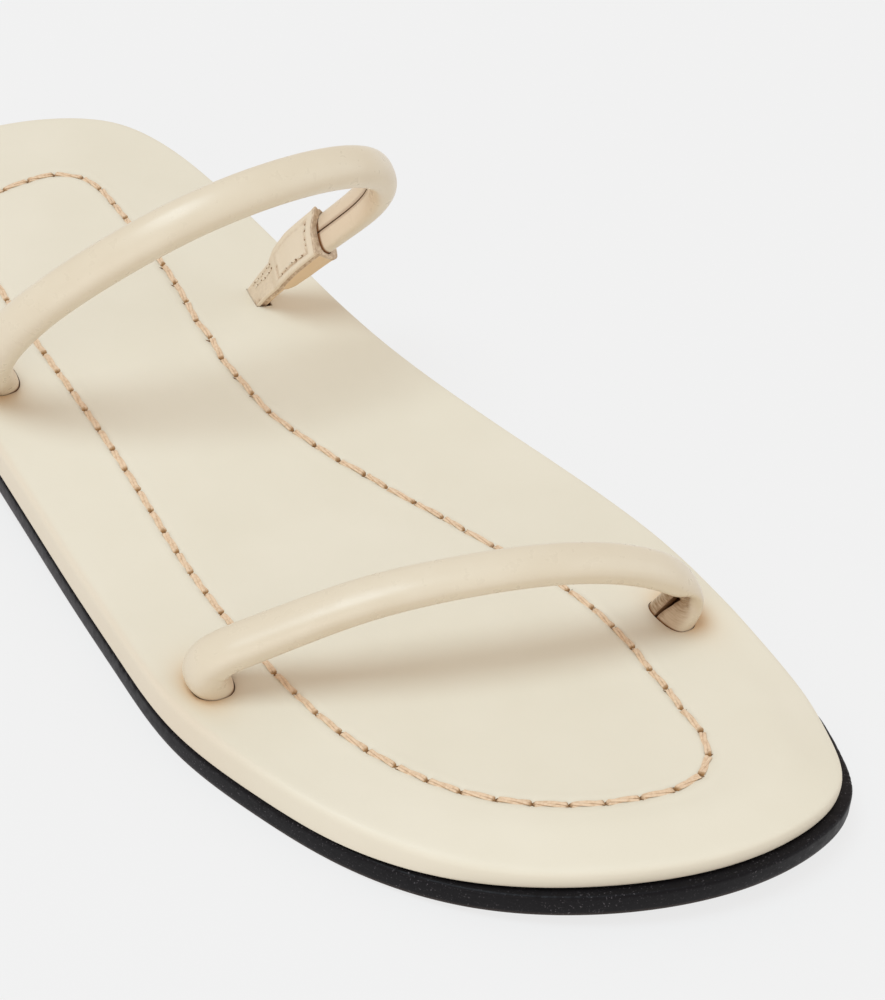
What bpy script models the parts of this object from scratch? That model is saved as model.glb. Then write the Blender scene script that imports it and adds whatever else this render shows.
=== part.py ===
"""Right-foot leather slide: leather-wrapped footbed, thin black sole, two rolled straps and a stitched tab.

Sizes are in millimetres and are turned into metres where the meshes are made.
+Y runs from heel to toe, +X to the little-toe side, +Z up, and Z = 0 is the floor.
"""
import math
from collections import namedtuple

import bmesh
import bpy
import numpy as np

MM = 0.001
GAP = 0.3

# Sole outline from above, heel to toe: place along the foot, big-toe edge, little-toe edge
OutlineRow = namedtuple("OutlineRow", "along medial lateral")
OUTLINE = (
    OutlineRow(-117.0, -29.3, 9.0),
    OutlineRow(-109.0, -39.6, 18.6),
    OutlineRow(-97.0, -43.7, 23.8),
    OutlineRow(-80.0, -44.1, 27.9),
    OutlineRow(-60.0, -43.0, 32.0),
    OutlineRow(-40.0, -41.9, 35.7),
    OutlineRow(-20.0, -42.0, 39.0),
    OutlineRow(0.0, -44.0, 42.4),
    OutlineRow(20.0, -46.3, 45.8),
    OutlineRow(40.0, -47.9, 48.4),
    OutlineRow(60.0, -48.1, 46.1),
    OutlineRow(80.0, -46.5, 40.6),
    OutlineRow(96.0, -44.0, 31.7),
    OutlineRow(108.0, -38.9, 19.6),
    OutlineRow(116.5, -32.8, 5.6),
)
HEEL_TIP = (-10.6, -121.0)
TOE_TIP = (-18.0, 121.4)
EDGE_STEPS = 52

# Height of the sole along the foot
TOE_SPRING = 4.0
TOE_SPRING_FROM = 66.0
TOE_SPRING_RUN = 55.0
HEEL_LIFT = 5.0
HEEL_LIFT_FROM = 18.0
HEEL_LIFT_RUN = 95.0
HEEL_BLOCK_FROM = -40.0
HEEL_BLOCK_RUN = 36.0
OUTSOLE_THICK = 4.2
FOOTBED_THICK = 6.2
TOE_LEDGE = 1.9
TOE_LEDGE_FROM = 45.0
TOE_LEDGE_RUN = 50.0
TOE_LEDGE_LATERAL_LAG = 25.0
TOE_LEDGE_MEDIAL_EXTRA = 0.35
FOOTBED_SETBACK = 0.15
FOOTBED_LATERAL_OVERHANG = 0.43
TOE_THIN = 2.4
TOE_THIN_FROM = 72.0
TOE_THIN_RUN = 34.0
TOE_THIN_MARGIN = 11.0

# Edge of each layer, bottom to top: inset from the outline, share of the thickness, rise above that
EdgeRow = namedtuple("EdgeRow", "inset share rise")
OUTSOLE_EDGE = (
    EdgeRow(10.0, 0.0, 0.0),
    EdgeRow(0.5, 0.0, 0.0),
    EdgeRow(0.1, 0.0, 0.4),
    EdgeRow(0.0, 0.0, 1.0),
    EdgeRow(0.0, 1.0, -0.5),
    EdgeRow(0.5, 1.0, 0.0),
    EdgeRow(10.0, 1.0, 0.0),
)
FOOTBED_EDGE = (
    EdgeRow(10.0, 0.0, 0.0),
    EdgeRow(0.8, 0.0, 0.0),
    EdgeRow(0.2, 0.0, 0.4),
    EdgeRow(0.0, 0.0, 1.2),
    EdgeRow(0.0, 1.0, -1.4),
    EdgeRow(0.25, 1.0, -0.5),
    EdgeRow(0.9, 1.0, 0.0),
    EdgeRow(5.0, 1.0, 0.0),
    EdgeRow(TOE_THIN_MARGIN, 1.0, 0.0),
)
CAP_COLUMNS = 5

# Straps: slit centres in the footbed (across, along), turns of the slits and of the medial leg,
# lean of the arch, and size of the rolled tube
Strap = namedtuple("Strap", "lateral medial slit_turns_deg leg_turn_deg lean_deg width thick wall")
FRONT = Strap(lateral=(40.1, 39.1), medial=(-35.1, 69.0), slit_turns_deg=(14.0, 3.0), leg_turn_deg=0.0,
              lean_deg=16.0, width=7.2, thick=5.1, wall=1.2)
REAR = Strap(lateral=(26.5, -46.4), medial=(-28.5, -43.5), slit_turns_deg=(14.0, 14.0), leg_turn_deg=22.0,
             lean_deg=31.0, width=7.7, thick=5.9, wall=1.3)
SLIT_TURN_HEIGHT = 12.0
LEG_FROM = 0.62
LEG_RUN = 0.2
SLIT_DEPTH = 3.6
SLIT_REACH = 8.0
SLIT_SECTIONS = 8

# Centre line of each arch in its leaning plane: along from the lateral slit, and height above the footbed
ArchRow = namedtuple("ArchRow", "along height")
FRONT_ARCH = (
    ArchRow(0.8, -SLIT_DEPTH),
    ArchRow(0.0, 0.0),
    ArchRow(-1.4, 3.4),
    ArchRow(-0.3, 7.0),
    ArchRow(4.4, 10.2),
    ArchRow(13.0, 14.2),
    ArchRow(24.0, 18.5),
    ArchRow(36.0, 20.8),
    ArchRow(48.0, 21.5),
    ArchRow(60.0, 20.5),
    ArchRow(71.8, 16.7),
    ArchRow(79.4, 11.4),
    ArchRow(82.7, 5.9),
    ArchRow(81.3, 0.0),
    ArchRow(80.5, -SLIT_DEPTH),
)
REAR_ARCH = (
    ArchRow(1.0, -SLIT_DEPTH),
    ArchRow(-0.4, 0.0),
    ArchRow(-3.4, 6.0),
    ArchRow(-5.4, 13.2),
    ArchRow(-4.6, 21.0),
    ArchRow(-1.2, 28.7),
    ArchRow(4.5, 36.0),
    ArchRow(12.4, 42.9),
    ArchRow(22.0, 48.7),
    ArchRow(32.0, 51.8),
    ArchRow(42.0, 52.6),
    ArchRow(52.3, 51.1),
    ArchRow(61.6, 46.6),
    ArchRow(67.6, 39.2),
    ArchRow(68.4, 31.0),
    ArchRow(64.6, 23.4),
    ArchRow(60.4, 16.4),
    ArchRow(57.2, 8.6),
    ArchRow(55.8, 2.0),
    ArchRow(55.2, -SLIT_DEPTH),
)
FRONT_SECTIONS = 34
REAR_SECTIONS = 46
TUBE_SIDES = 16

# Size of the tube along each strap: share of its length, share of its width and thickness, gap of the slit seam
TubeRow = namedtuple("TubeRow", "at width thick seam")
FRONT_TUBE = (
    TubeRow(0.00, 1.22, 1.12, 0.4),
    TubeRow(0.06, 1.20, 1.42, 0.4),
    TubeRow(0.12, 1.08, 1.14, 0.4),
    TubeRow(0.24, 1.05, 1.05, 0.4),
    TubeRow(0.45, 1.00, 1.00, 0.4),
    TubeRow(0.82, 1.00, 0.97, 0.4),
    TubeRow(0.87, 1.04, 0.84, 0.7),
    TubeRow(0.92, 1.10, 0.78, 1.0),
    TubeRow(1.00, 1.36, 1.20, 1.2),
)
REAR_TUBE = (
    TubeRow(0.00, 1.20, 0.98, 0.4),
    TubeRow(0.10, 1.10, 1.02, 0.4),
    TubeRow(0.25, 1.00, 1.00, 0.4),
    TubeRow(0.72, 1.00, 1.00, 0.4),
    TubeRow(0.86, 1.03, 0.82, 0.4),
    TubeRow(0.94, 0.99, 0.66, 0.4),
    TubeRow(1.00, 0.86, 0.56, 0.4),
)
INNER_FLATNESS = 3.2
OUTER_FLATNESS = 2.2
SIDE_FLATNESS = 2.4

# Tab: distance from its collar towards the slit, width and thickness there, and shift towards the toe
TabRow = namedtuple("TabRow", "down width thick forward")
TAB = (
    TabRow(0.0, 8.95, 6.4, 0.12),
    TabRow(1.0, 9.0, 6.4, 0.12),
    TabRow(7.0, 8.5, 5.8, 0.2),
    TabRow(11.0, 7.8, 4.8, 0.4),
    TabRow(12.6, 7.2, 3.8, 0.55),
    TabRow(14.0, 6.2, 3.0, 0.65),
    TabRow(25.3, 5.8, 2.8, 0.8),
)
TAB_LENGTH = 25.3
TAB_SECTIONS = 18
TAB_OVERLAP = 8.5
TAB_SHIFT = 0.15
TAB_SHIFT_END = 12.6
POCKET_LEAD = 2.0
TAB_FACING = 1.2
TAB_GROOVE = 0.35

# Side of the tab's section, facing to back: inset from the side, layer it is measured from, and rise above that
TabSideRow = namedtuple("TabSideRow", "inset layer rise")
TAB_SIDE = (
    TabSideRow(0.4, "facing", 0.0),
    TabSideRow(0.0, "facing", 0.4),
    TabSideRow(0.0, "groove", -0.3),
    TabSideRow(TAB_GROOVE, "groove", -0.1),
    TabSideRow(TAB_GROOVE, "groove", 0.1),
    TabSideRow(0.2, "groove", 0.3),
    TabSideRow(0.5, "back", -0.5),
    TabSideRow(1.4, "back", 0.0),
)

Finish = namedtuple("Finish", "colour roughness")
FOOTBED_LEATHER = Finish((0.77, 0.71, 0.59, 1.0), 0.5)
STRAP_LEATHER = Finish((0.75, 0.67, 0.53, 1.0), 0.42)
TAB_LEATHER = Finish((0.74, 0.63, 0.48, 1.0), 0.6)
BLACK_RUBBER = Finish((0.018, 0.017, 0.019, 1.0), 0.45)
SHARP_DEG = 50.0


def clear_scene():
    for item in list(bpy.data.objects):
        bpy.data.objects.remove(item, do_unlink=True)


def ease(share):
    """0 to 1 with level ends."""
    share = np.clip(share, 0.0, 1.0)
    return share * share * (3.0 - 2.0 * share)


def through(points, per_span=24):
    """Smooth polyline through points: a natural cubic spline by chord length."""
    points = np.array(points, float)
    knots = np.concatenate([[0.0], np.cumsum(np.linalg.norm(np.diff(points, axis=0), axis=1))])
    gaps = np.diff(knots)
    system = np.eye(len(points))
    pull = np.zeros_like(points)
    for i in range(1, len(points) - 1):
        system[i, i - 1:i + 2] = gaps[i - 1], 2.0 * (gaps[i - 1] + gaps[i]), gaps[i]
        rise_after = (points[i + 1] - points[i]) / gaps[i]
        rise_before = (points[i] - points[i - 1]) / gaps[i - 1]
        pull[i] = 6.0 * (rise_after - rise_before)
    bend = np.linalg.solve(system, pull)
    line = [points[0]]
    for i, gap in enumerate(gaps):
        for t in np.linspace(0.0, 1.0, per_span + 1)[1:]:
            s = 1.0 - t
            chord = s * points[i] + t * points[i + 1]
            line.append(chord + gap * gap / 6.0 * ((s ** 3 - s) * bend[i] + (t ** 3 - t) * bend[i + 1]))
    return np.array(line)


def lengths(line):
    return np.concatenate([[0.0], np.cumsum(np.linalg.norm(np.diff(line, axis=0), axis=1))])


def resample(line, places):
    """Points of a polyline at the given distances along it."""
    run = lengths(line)
    return np.stack([np.interp(places, run, line[:, axis]) for axis in range(line.shape[1])], axis=1)


def toe_rise(y):
    return TOE_SPRING * np.clip((y - TOE_SPRING_FROM) / TOE_SPRING_RUN, 0.0, None) ** 2


def heel_rise(y):
    return HEEL_LIFT * ease((HEEL_LIFT_FROM - y) / HEEL_LIFT_RUN)


def ground_face(y):
    """Lower face of the outsole: flat at ball and heel, arched between, sprung at the toe."""
    return toe_rise(y) + heel_rise(y) * (1.0 - ease((HEEL_BLOCK_FROM - y) / HEEL_BLOCK_RUN))


def seat_face(y):
    """Upper face of the outsole, where the footbed sits."""
    return toe_rise(y) + heel_rise(y) + OUTSOLE_THICK


def footbed_lower(y):
    return seat_face(y) + GAP


def footbed_top(y):
    return footbed_lower(y) + FOOTBED_THICK


def outline_loop():
    """Closed outline from above, heel tip first, up the little-toe side and back down the big-toe side."""
    lateral = [(row.lateral, row.along) for row in OUTLINE]
    medial = [(row.medial, row.along) for row in reversed(OUTLINE)]
    around = [HEEL_TIP] + lateral + [TOE_TIP] + medial
    wrap = 4
    per_span = 24
    line = through(around[-wrap:] + around + around[:wrap + 1], per_span)
    toe = len(lateral) + 1
    first, middle, last = (per_span * (wrap + i) for i in (0, toe, len(around)))
    halves = []
    for half in (line[first:middle + 1], line[middle:last + 1]):
        places = np.linspace(0.0, lengths(half)[-1], EDGE_STEPS + 1)
        halves.append(resample(half, places)[:-1])
    return np.vstack(halves)


def outward(loop):
    """Unit normals of a closed counter-clockwise outline."""
    run = np.roll(loop, -1, axis=0) - np.roll(loop, 1, axis=0)
    side = np.stack([run[:, 1], -run[:, 0]], axis=1)
    return side / np.linalg.norm(side, axis=1)[:, None]


def footbed_inset(loop, normals):
    """The footbed steps in at the toe, where the outsole is proud, and is almost flush elsewhere."""
    outer = ease(0.5 + 0.5 * normals[:, 0])
    setback = FOOTBED_SETBACK - FOOTBED_LATERAL_OVERHANG * outer
    start = TOE_LEDGE_FROM + TOE_LEDGE_LATERAL_LAG * outer
    ledge = TOE_LEDGE + TOE_LEDGE_MEDIAL_EXTRA * ease(-normals[:, 0])
    return setback + (ledge - setback) * ease((loop[:, 1] - start) / TOE_LEDGE_RUN)


def toe_thin(y, inset):
    """How much lower the footbed's top is near its edge at the toe."""
    return TOE_THIN * ease((y - TOE_THIN_FROM) / TOE_THIN_RUN) * (1.0 - ease(inset / TOE_THIN_MARGIN))


def no_inset(loop, normals):
    return np.zeros(len(loop))


def no_thinning(y, inset):
    return np.zeros_like(y)


def sole_rings(loop, edge_rows, lower, upper, extra_inset, thinning):
    """Closed rings of one layer, from the middle of its lower face round its edge to the middle of its top."""
    normals = outward(loop)
    rings = []
    for row in edge_rows:
        inset = row.inset + extra_inset(loop, normals)
        flat = loop - normals * inset[:, None]
        y = flat[:, 1]
        top = upper(y) - thinning(y, row.inset)
        rings.append(np.column_stack([flat, lower(y) + row.share * (top - lower(y)) + row.rise]))
    return rings


def add_cap(mesh, ring, face):
    """Fill the inside of a ring with rows that run from the little-toe side to the big-toe side."""
    half = len(ring) // 2
    rows = []
    for i in range(1, half):
        left, right = ring[i], ring[-i]
        inner = []
        for share in np.linspace(0.0, 1.0, CAP_COLUMNS + 2)[1:-1]:
            spot = left.co.lerp(right.co, share)
            inner.append(mesh.verts.new((spot.x, spot.y, face(spot.y / MM) * MM)))
        rows.append([left] + inner + [right])
    for near, far in zip(rows, rows[1:]):
        for a, b, c, d in zip(near, near[1:], far[1:], far):
            mesh.faces.new((a, b, c, d))
    for tip, row in ((ring[0], rows[0]), (ring[half], rows[-1])):
        for a, b in zip(row, row[1:]):
            mesh.faces.new((tip, a, b))


def bridge(mesh, near, far):
    """Band of faces between two closed rings with equal counts."""
    for i in range(len(near)):
        j = (i + 1) % len(near)
        mesh.faces.new((near[i], near[j], far[j], far[i]))


def new_object(name, mesh, finish):
    """Finish a bmesh as a named object with its own material."""
    bmesh.ops.recalc_face_normals(mesh, faces=mesh.faces)
    data = bpy.data.meshes.new(name)
    mesh.to_mesh(data)
    mesh.free()
    data.shade_smooth()
    data.set_sharp_from_angle(angle=math.radians(SHARP_DEG))
    surface = bpy.data.materials.new(name)
    surface.use_nodes = True
    shader = surface.node_tree.nodes["Principled BSDF"]
    shader.inputs["Base Color"].default_value = finish.colour
    shader.inputs["Roughness"].default_value = finish.roughness
    data.materials.append(surface)
    item = bpy.data.objects.new(name, data)
    bpy.context.scene.collection.objects.link(item)
    return item


def sole_layer(name, rings, lower, upper, finish):
    mesh = bmesh.new()
    loops = [[mesh.verts.new(point * MM) for point in ring] for ring in rings]
    for near, far in zip(loops, loops[1:]):
        bridge(mesh, near, far)
    add_cap(mesh, loops[0], lower)
    add_cap(mesh, loops[-1], upper)
    return new_object(name, mesh, finish)


def loft(name, sections, finish):
    """Closed solid through rings of points, with flat ends."""
    mesh = bmesh.new()
    loops = [[mesh.verts.new(point * MM) for point in section] for section in sections]
    for near, far in zip(loops, loops[1:]):
        bridge(mesh, near, far)
    for ring in (loops[0], loops[-1]):
        mesh.faces.new(ring)
    bmesh.ops.triangulate(mesh, faces=[face for face in mesh.faces if len(face.verts) > 4])
    return new_object(name, mesh, finish)


def turned(way, angle_deg):
    """A direction turned about the vertical, from the toe towards the little-toe side."""
    c, s = math.cos(math.radians(angle_deg)), math.sin(math.radians(angle_deg))
    return np.array([c * way[0] + s * way[1], c * way[1] - s * way[0], way[2]])


class Arch:
    """Centre line of a strap with its directions: along it, across its width and out from the foot."""

    def __init__(self, strap, rows):
        start, end = (np.array([*slit, footbed_top(slit[1])]) for slit in (strap.lateral, strap.medial))
        along = (end - start) / np.linalg.norm(end - start)
        upright = np.array([0.0, 0.0, 1.0]) - along * along[2]
        upright /= np.linalg.norm(upright)
        forward = np.cross(upright, along)
        forward *= math.copysign(1.0, forward[1])
        lean = math.radians(strap.lean_deg)
        rise = upright * math.cos(lean) + forward * math.sin(lean)
        flat = through(rows)
        self.line = start + flat[:, :1] * along + flat[:, 1:] * rise
        self.height = flat[:, 1]
        self.run = lengths(self.line)
        self.length = self.run[-1]
        self.arch_width = forward * math.cos(lean) - upright * math.sin(lean)
        self.slit_widths = [turned(np.array([0.0, 1.0, 0.0]), angle) for angle in strap.slit_turns_deg]
        self.leg_turn_deg = strap.leg_turn_deg

    def frame(self, place):
        """Centre, width direction and outward direction at a distance along the strap, or just past its end."""
        near = min(max(place, 0.0), self.length)
        step = 0.2
        before, centre, after = resample(self.line, [max(near - step, 0.0), near, min(near + step, self.length)])
        heading = (after - before) / np.linalg.norm(after - before)
        free = ease(np.interp(near, self.run, self.height) / SLIT_TURN_HEIGHT)
        leg = ease((near / self.length - LEG_FROM) / LEG_RUN)
        slit_width = self.slit_widths[int(near > self.length / 2.0)]
        width = slit_width * (1.0 - free) + turned(self.arch_width, leg * self.leg_turn_deg) * free
        width /= np.linalg.norm(width)
        out = np.cross(width, heading)
        return centre + heading * (place - near), width, out / np.linalg.norm(out)


def bulge(angle, half_width, half_thick):
    """Point of the rolled tube's outline: flat on the foot's side, domed outside."""
    c, s = math.cos(angle), math.sin(angle)
    flatness = OUTER_FLATNESS if s > 0.0 else INNER_FLATNESS
    across = half_width * math.copysign(abs(c) ** (2.0 / SIDE_FLATNESS), c)
    outwards = half_thick * math.copysign(abs(s) ** (2.0 / flatness), s)
    return across, outwards


def tube_outline(width, thick, opening):
    """Open outline of the tube from one lip of its slit seam round the outside to the other lip."""
    half_gap = math.asin((opening / width) ** (SIDE_FLATNESS / 2.0))
    angles = np.linspace(-math.pi / 2 + half_gap, 1.5 * math.pi - half_gap, TUBE_SIDES)
    return [bulge(angle, width / 2.0, thick / 2.0) for angle in angles]


def rolled_section(width, thick, wall, seam):
    """Leather rolled into a tube: outside from lip to lip, then back along the inside."""
    outside = tube_outline(width, thick, seam)
    inside = tube_outline(width - 2.0 * wall, thick - 2.0 * wall, seam)
    return outside + inside[::-1]


def filled_section(width, thick):
    angles = np.linspace(-math.pi / 2, 1.5 * math.pi, TUBE_SIDES, endpoint=False)
    return [bulge(angle, width / 2.0, thick / 2.0) for angle in angles]


def place_section(arch, place, section):
    centre, width, out = arch.frame(place)
    return [centre + across * width + outwards * out for across, outwards in section]


def tube_size(strap, tube_rows, share):
    """Width, thickness and seam gap of a strap at a share of its length."""
    at = [row.at for row in tube_rows]
    width = strap.width * np.interp(share, at, [row.width for row in tube_rows])
    thick = strap.thick * np.interp(share, at, [row.thick for row in tube_rows])
    seam = np.interp(share, at, [row.seam for row in tube_rows])
    return width, thick, seam


def rolled_strap(name, strap, arch, tube_rows, end, count):
    """Rolled leather tube from the lateral slit to a distance along its arch."""
    sections = []
    for place in np.linspace(0.0, end, count):
        width, thick, seam = tube_size(strap, tube_rows, place / end)
        sections.append(place_section(arch, place, rolled_section(width, thick, strap.wall, seam)))
    return loft(name, sections, STRAP_LEATHER)


def strap_cutter(name, strap, arch, tube_rows, end, places):
    """Filled tube one gap larger than the strap, for cutting the slit or pocket that holds it."""
    sections = []
    for place in places:
        width, thick, _ = tube_size(strap, tube_rows, place / end)
        sections.append(place_section(arch, place, filled_section(width + 2.0 * GAP, thick + 2.0 * GAP)))
    return as_cutter(loft(name, sections, STRAP_LEATHER))


def as_cutter(item):
    item.hide_render = True
    item.display_type = 'WIRE'
    return item


def cut(item, cutter):
    """Boolean difference that stays on the object."""
    change = item.modifiers.new(cutter.name, 'BOOLEAN')
    change.operation = 'DIFFERENCE'
    change.solver = 'EXACT'
    change.object = cutter


def tab_section(down):
    """Two layers stitched together: a flat facing towards the foot, a groove at each side, a rounded back."""
    width, thick = tab_size(down)
    half, face = width / 2.0, thick / 2.0
    shift = TAB_SHIFT * (1.0 - ease(down / TAB_SHIFT_END))
    layers = {"facing": -face - shift, "groove": TAB_FACING - face - shift, "back": face - shift}
    side = [(half - row.inset, layers[row.layer] + row.rise) for row in TAB_SIDE]
    around = side + [(-across, outwards) for across, outwards in reversed(side)]
    return [(across + tab_forward(down), outwards) for across, outwards in around]


def tab_size(down):
    """Width and thickness of the tab at a distance down from its collar."""
    at = [row.down for row in TAB]
    return (np.interp(down, at, [row.width for row in TAB]),
            np.interp(down, at, [row.thick for row in TAB]))


def tab_forward(down):
    """How far the tab's middle lies towards the toe from the strap's centre line."""
    return np.interp(down, [row.down for row in TAB], [row.forward for row in TAB])


def strap_tab(name, arch, collar):
    sections = []
    for down in np.linspace(0.0, TAB_LENGTH, TAB_SECTIONS):
        sections.append(place_section(arch, collar + down, tab_section(down)))
    return loft(name, sections, TAB_LEATHER)


def tail_cutter(name, arch, places):
    """Slit for the tab's tail, one gap larger than it all round."""
    width, thick = tab_size(TAB_LENGTH)
    half, face = width / 2.0 + GAP, thick / 2.0 + GAP
    front, back = tab_forward(TAB_LENGTH) + half, tab_forward(TAB_LENGTH) - half
    section = [(front, -face), (front, face), (back, face), (back, -face)]
    return as_cutter(loft(name, [place_section(arch, place, section) for place in places], TAB_LEATHER))


def build():
    clear_scene()
    loop = outline_loop()
    outsole_rings = sole_rings(loop, OUTSOLE_EDGE, ground_face, seat_face, no_inset, no_thinning)
    sole_layer("outsole", outsole_rings, ground_face, seat_face, BLACK_RUBBER)
    footbed_rings = sole_rings(loop, FOOTBED_EDGE, footbed_lower, footbed_top, footbed_inset, toe_thin)
    footbed = sole_layer("footbed", footbed_rings, footbed_lower, footbed_top, FOOTBED_LEATHER)

    slit = np.linspace(-GAP, SLIT_REACH, SLIT_SECTIONS)
    front = Arch(FRONT, FRONT_ARCH)
    rolled_strap("front_strap", FRONT, front, FRONT_TUBE, front.length, FRONT_SECTIONS)
    cut(footbed, strap_cutter("front_lateral_slit", FRONT, front, FRONT_TUBE, front.length, slit))
    cut(footbed, strap_cutter("front_medial_slit", FRONT, front, FRONT_TUBE, front.length, front.length - slit))

    rear = Arch(REAR, REAR_ARCH)
    collar = rear.length - TAB_LENGTH
    rear_end = collar + TAB_OVERLAP
    rolled_strap("rear_strap", REAR, rear, REAR_TUBE, rear_end, REAR_SECTIONS)
    cut(footbed, strap_cutter("rear_lateral_slit", REAR, rear, REAR_TUBE, rear_end, slit))
    cut(footbed, tail_cutter("tab_slit", rear, rear.length - slit))
    tab = strap_tab("rear_strap_tab", rear, collar)
    pocket = np.linspace(collar - POCKET_LEAD, rear_end + GAP, SLIT_SECTIONS)
    cut(tab, strap_cutter("tab_pocket", REAR, rear, REAR_TUBE, rear_end, pocket))


build()
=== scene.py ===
"""Looks of a right-foot leather slide: cream footbed, rolled straps, stitched tab and black sole.

Sizes are in millimetres and are turned into metres where the meshes are made.
+Y runs from heel to toe, +X to the little-toe side, +Z up, and Z = 0 is the floor.
"""
import math
from collections import namedtuple

import bmesh
import bpy
import numpy as np
from mathutils import Matrix, Vector, kdtree, noise


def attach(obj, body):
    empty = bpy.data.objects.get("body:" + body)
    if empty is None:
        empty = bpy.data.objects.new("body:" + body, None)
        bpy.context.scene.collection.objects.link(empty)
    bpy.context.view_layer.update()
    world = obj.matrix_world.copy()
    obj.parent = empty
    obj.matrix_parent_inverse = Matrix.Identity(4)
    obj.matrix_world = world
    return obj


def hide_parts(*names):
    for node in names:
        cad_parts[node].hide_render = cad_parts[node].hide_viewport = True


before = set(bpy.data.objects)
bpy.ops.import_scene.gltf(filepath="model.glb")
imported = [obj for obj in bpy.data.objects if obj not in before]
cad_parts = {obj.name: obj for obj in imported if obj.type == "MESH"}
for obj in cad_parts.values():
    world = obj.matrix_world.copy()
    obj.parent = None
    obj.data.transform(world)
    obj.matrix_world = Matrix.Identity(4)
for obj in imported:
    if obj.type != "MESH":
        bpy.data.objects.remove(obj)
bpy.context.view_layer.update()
BODY = "root"
MM = 0.001
GAP = 0.3
SEED = 7
SHARP_DEG = 50.0
SPAN_STEPS = 24


def table(columns, *rows):
    """Rows of values with named columns."""
    kind = namedtuple("Row", columns)
    return tuple(kind(*row) for row in rows)


# Camera of the photograph
CAMERA_PLACE = (260.0, 335.6, 341.3)
CAMERA_YAW_DEG = 138.0
CAMERA_TILT_DEG = 38.12
CAMERA_ROLL_DEG = 5.41
CAMERA_LENS = 108.0
CAMERA_NEAR = 0.01

# Sole outline from above, heel to toe: place along the foot, big-toe edge, little-toe edge
OUTLINE = table(
    "along medial lateral",
    (-117.0, -29.3, 9.0), (-109.0, -39.6, 18.6), (-97.0, -43.7, 23.8), (-80.0, -44.1, 27.9),
    (-60.0, -43.0, 32.0), (-40.0, -41.9, 35.7), (-20.0, -42.0, 39.0), (0.0, -44.0, 42.4),
    (20.0, -46.3, 45.8), (40.0, -47.9, 48.4), (60.0, -48.1, 46.1), (80.0, -46.5, 40.6),
    (96.0, -44.0, 31.7), (108.0, -38.9, 19.6), (116.5, -32.8, 5.6),
)
HEEL_TIP = (-10.6, -121.0)
TOE_TIP = (-18.0, 121.4)

# Height of the sole along the foot
TOE_SPRING = 4.0
TOE_SPRING_FROM = 66.0
TOE_SPRING_RUN = 55.0
HEEL_LIFT = 5.0
HEEL_LIFT_FROM = 18.0
HEEL_LIFT_RUN = 95.0
HEEL_BLOCK_FROM = -40.0
HEEL_BLOCK_RUN = 36.0
OUTSOLE_THICK = 4.2
FOOTBED_THICK = 6.2
TOE_LEDGE = 1.9
TOE_LEDGE_FROM = 45.0
TOE_LEDGE_RUN = 50.0
TOE_LEDGE_LATERAL_LAG = 25.0
TOE_LEDGE_MEDIAL_EXTRA = 0.35
FOOTBED_SETBACK = 0.15
FOOTBED_LATERAL_OVERHANG = 0.43
TOE_THIN = 2.4
TOE_THIN_FROM = 72.0
TOE_THIN_RUN = 34.0
TOE_THIN_MARGIN = 11.0

# Footbed's edge, from its seat over to its flat top: inset, inset at the toe, and drop from the top
BED_EDGE = table(
    "inset toe_inset drop",
    (0.8, 0.8, 6.2), (0.2, 0.2, 5.8), (0.0, 0.0, 4.8), (0.0, 0.05, 1.9), (0.05, 0.3, 1.05),
    (0.2, 0.75, 0.5), (0.5, 1.4, 0.15), (0.9, 2.1, 0.0), (1.5, 2.9, -0.06), (2.6, 4.0, -0.05),
    (4.0, 5.6, 0.0), (8.0, 8.0, 0.0), (11.0, 11.0, 0.0),
)
BED_STEPS = 380
BED_EDGE_STEPS = 3
BED_COLUMNS = 120
SEAT_INSET = 12.0
SEAT_COLUMNS = 3
RELIEF_FADE = 2.0
# Painted shade along the footbed's top edge on the little-toe side: inset, half width, and where it fades out
# towards the toe
EDGE_SHADE_INSET = 0.5
EDGE_SHADE_HALF = 0.7
EDGE_SHADE_END = 45.0
EDGE_SHADE_RUN = 25.0
# Painted shade in the insides of the slits: how far below the top it starts, its fade, and how near a slit it
# is painted
SLIT_DEEP_FROM = 0.35
SLIT_DEEP_RUN = 0.25
SLIT_NEAR = 0.5

# Slow waves of the footbed's leather: rise, lengths, and how far one wave swings the other
BROAD_RISE = 0.09
BROAD_ALONG = 19.0
BROAD_ACROSS = 21.0
BROAD_SWING = 1.1
BROAD_SWING_LENGTH = 15.0
BROAD_STARTS = (0.6, 0.4)
SHORT_RISE = 0.02
SHORT_ALONG = 8.3
SHORT_ACROSS = 6.5
SHORT_SWING = 1.7
SHORT_SWING_LENGTH = 11.0
SHORT_START = 0.8

# Outsole's edge, bottom to top: inset, share of the thickness, rise above that, and share of the tearing
SOLE_EDGE = table(
    "inset share rise torn",
    (10.0, 0.0, 0.0, 0.0), (0.5, 0.0, 0.0, 0.0), (0.25, 0.0, 0.12, 0.0), (0.1, 0.0, 0.4, 0.0),
    (0.0, 0.0, 1.0, 0.0), (0.0, 0.5, 0.0, 0.0), (0.0, 1.0, -0.8, 0.1), (0.02, 1.0, -0.45, 0.7),
    (0.2, 1.0, -0.12, 1.0), (0.6, 1.0, 0.0, 0.6), (10.0, 1.0, 0.0, 0.0),
)
SOLE_STEPS = 640
SOLE_COLUMNS = 4
# Painted sheen on the outsole's side: lighter towards the heel and below the top edge
SHEEN_FROM = 60.0
SHEEN_RUN = 120.0
SHEEN_TOP = 0.6
SHEEN_TOP_RUN = 0.25
TORN_DEPTH = 0.45
TORN_PITCH = 1.1
TORN_WORST = 30.0
TORN_STRETCH = 17.0
TORN_MEAN = 0.5
TORN_SPREAD = 1.6
TORN_INSET = 0.5
FINE_NICK = 0.6
FINE_NICK_TIMES = 2.3
PATCH_ROW = (3.1, 0.0)
NICK_ROW = (0.0, 5.7)
FINE_NICK_ROW = (9.0, 0.0)
FOOT_RIM = 0.9

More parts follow.
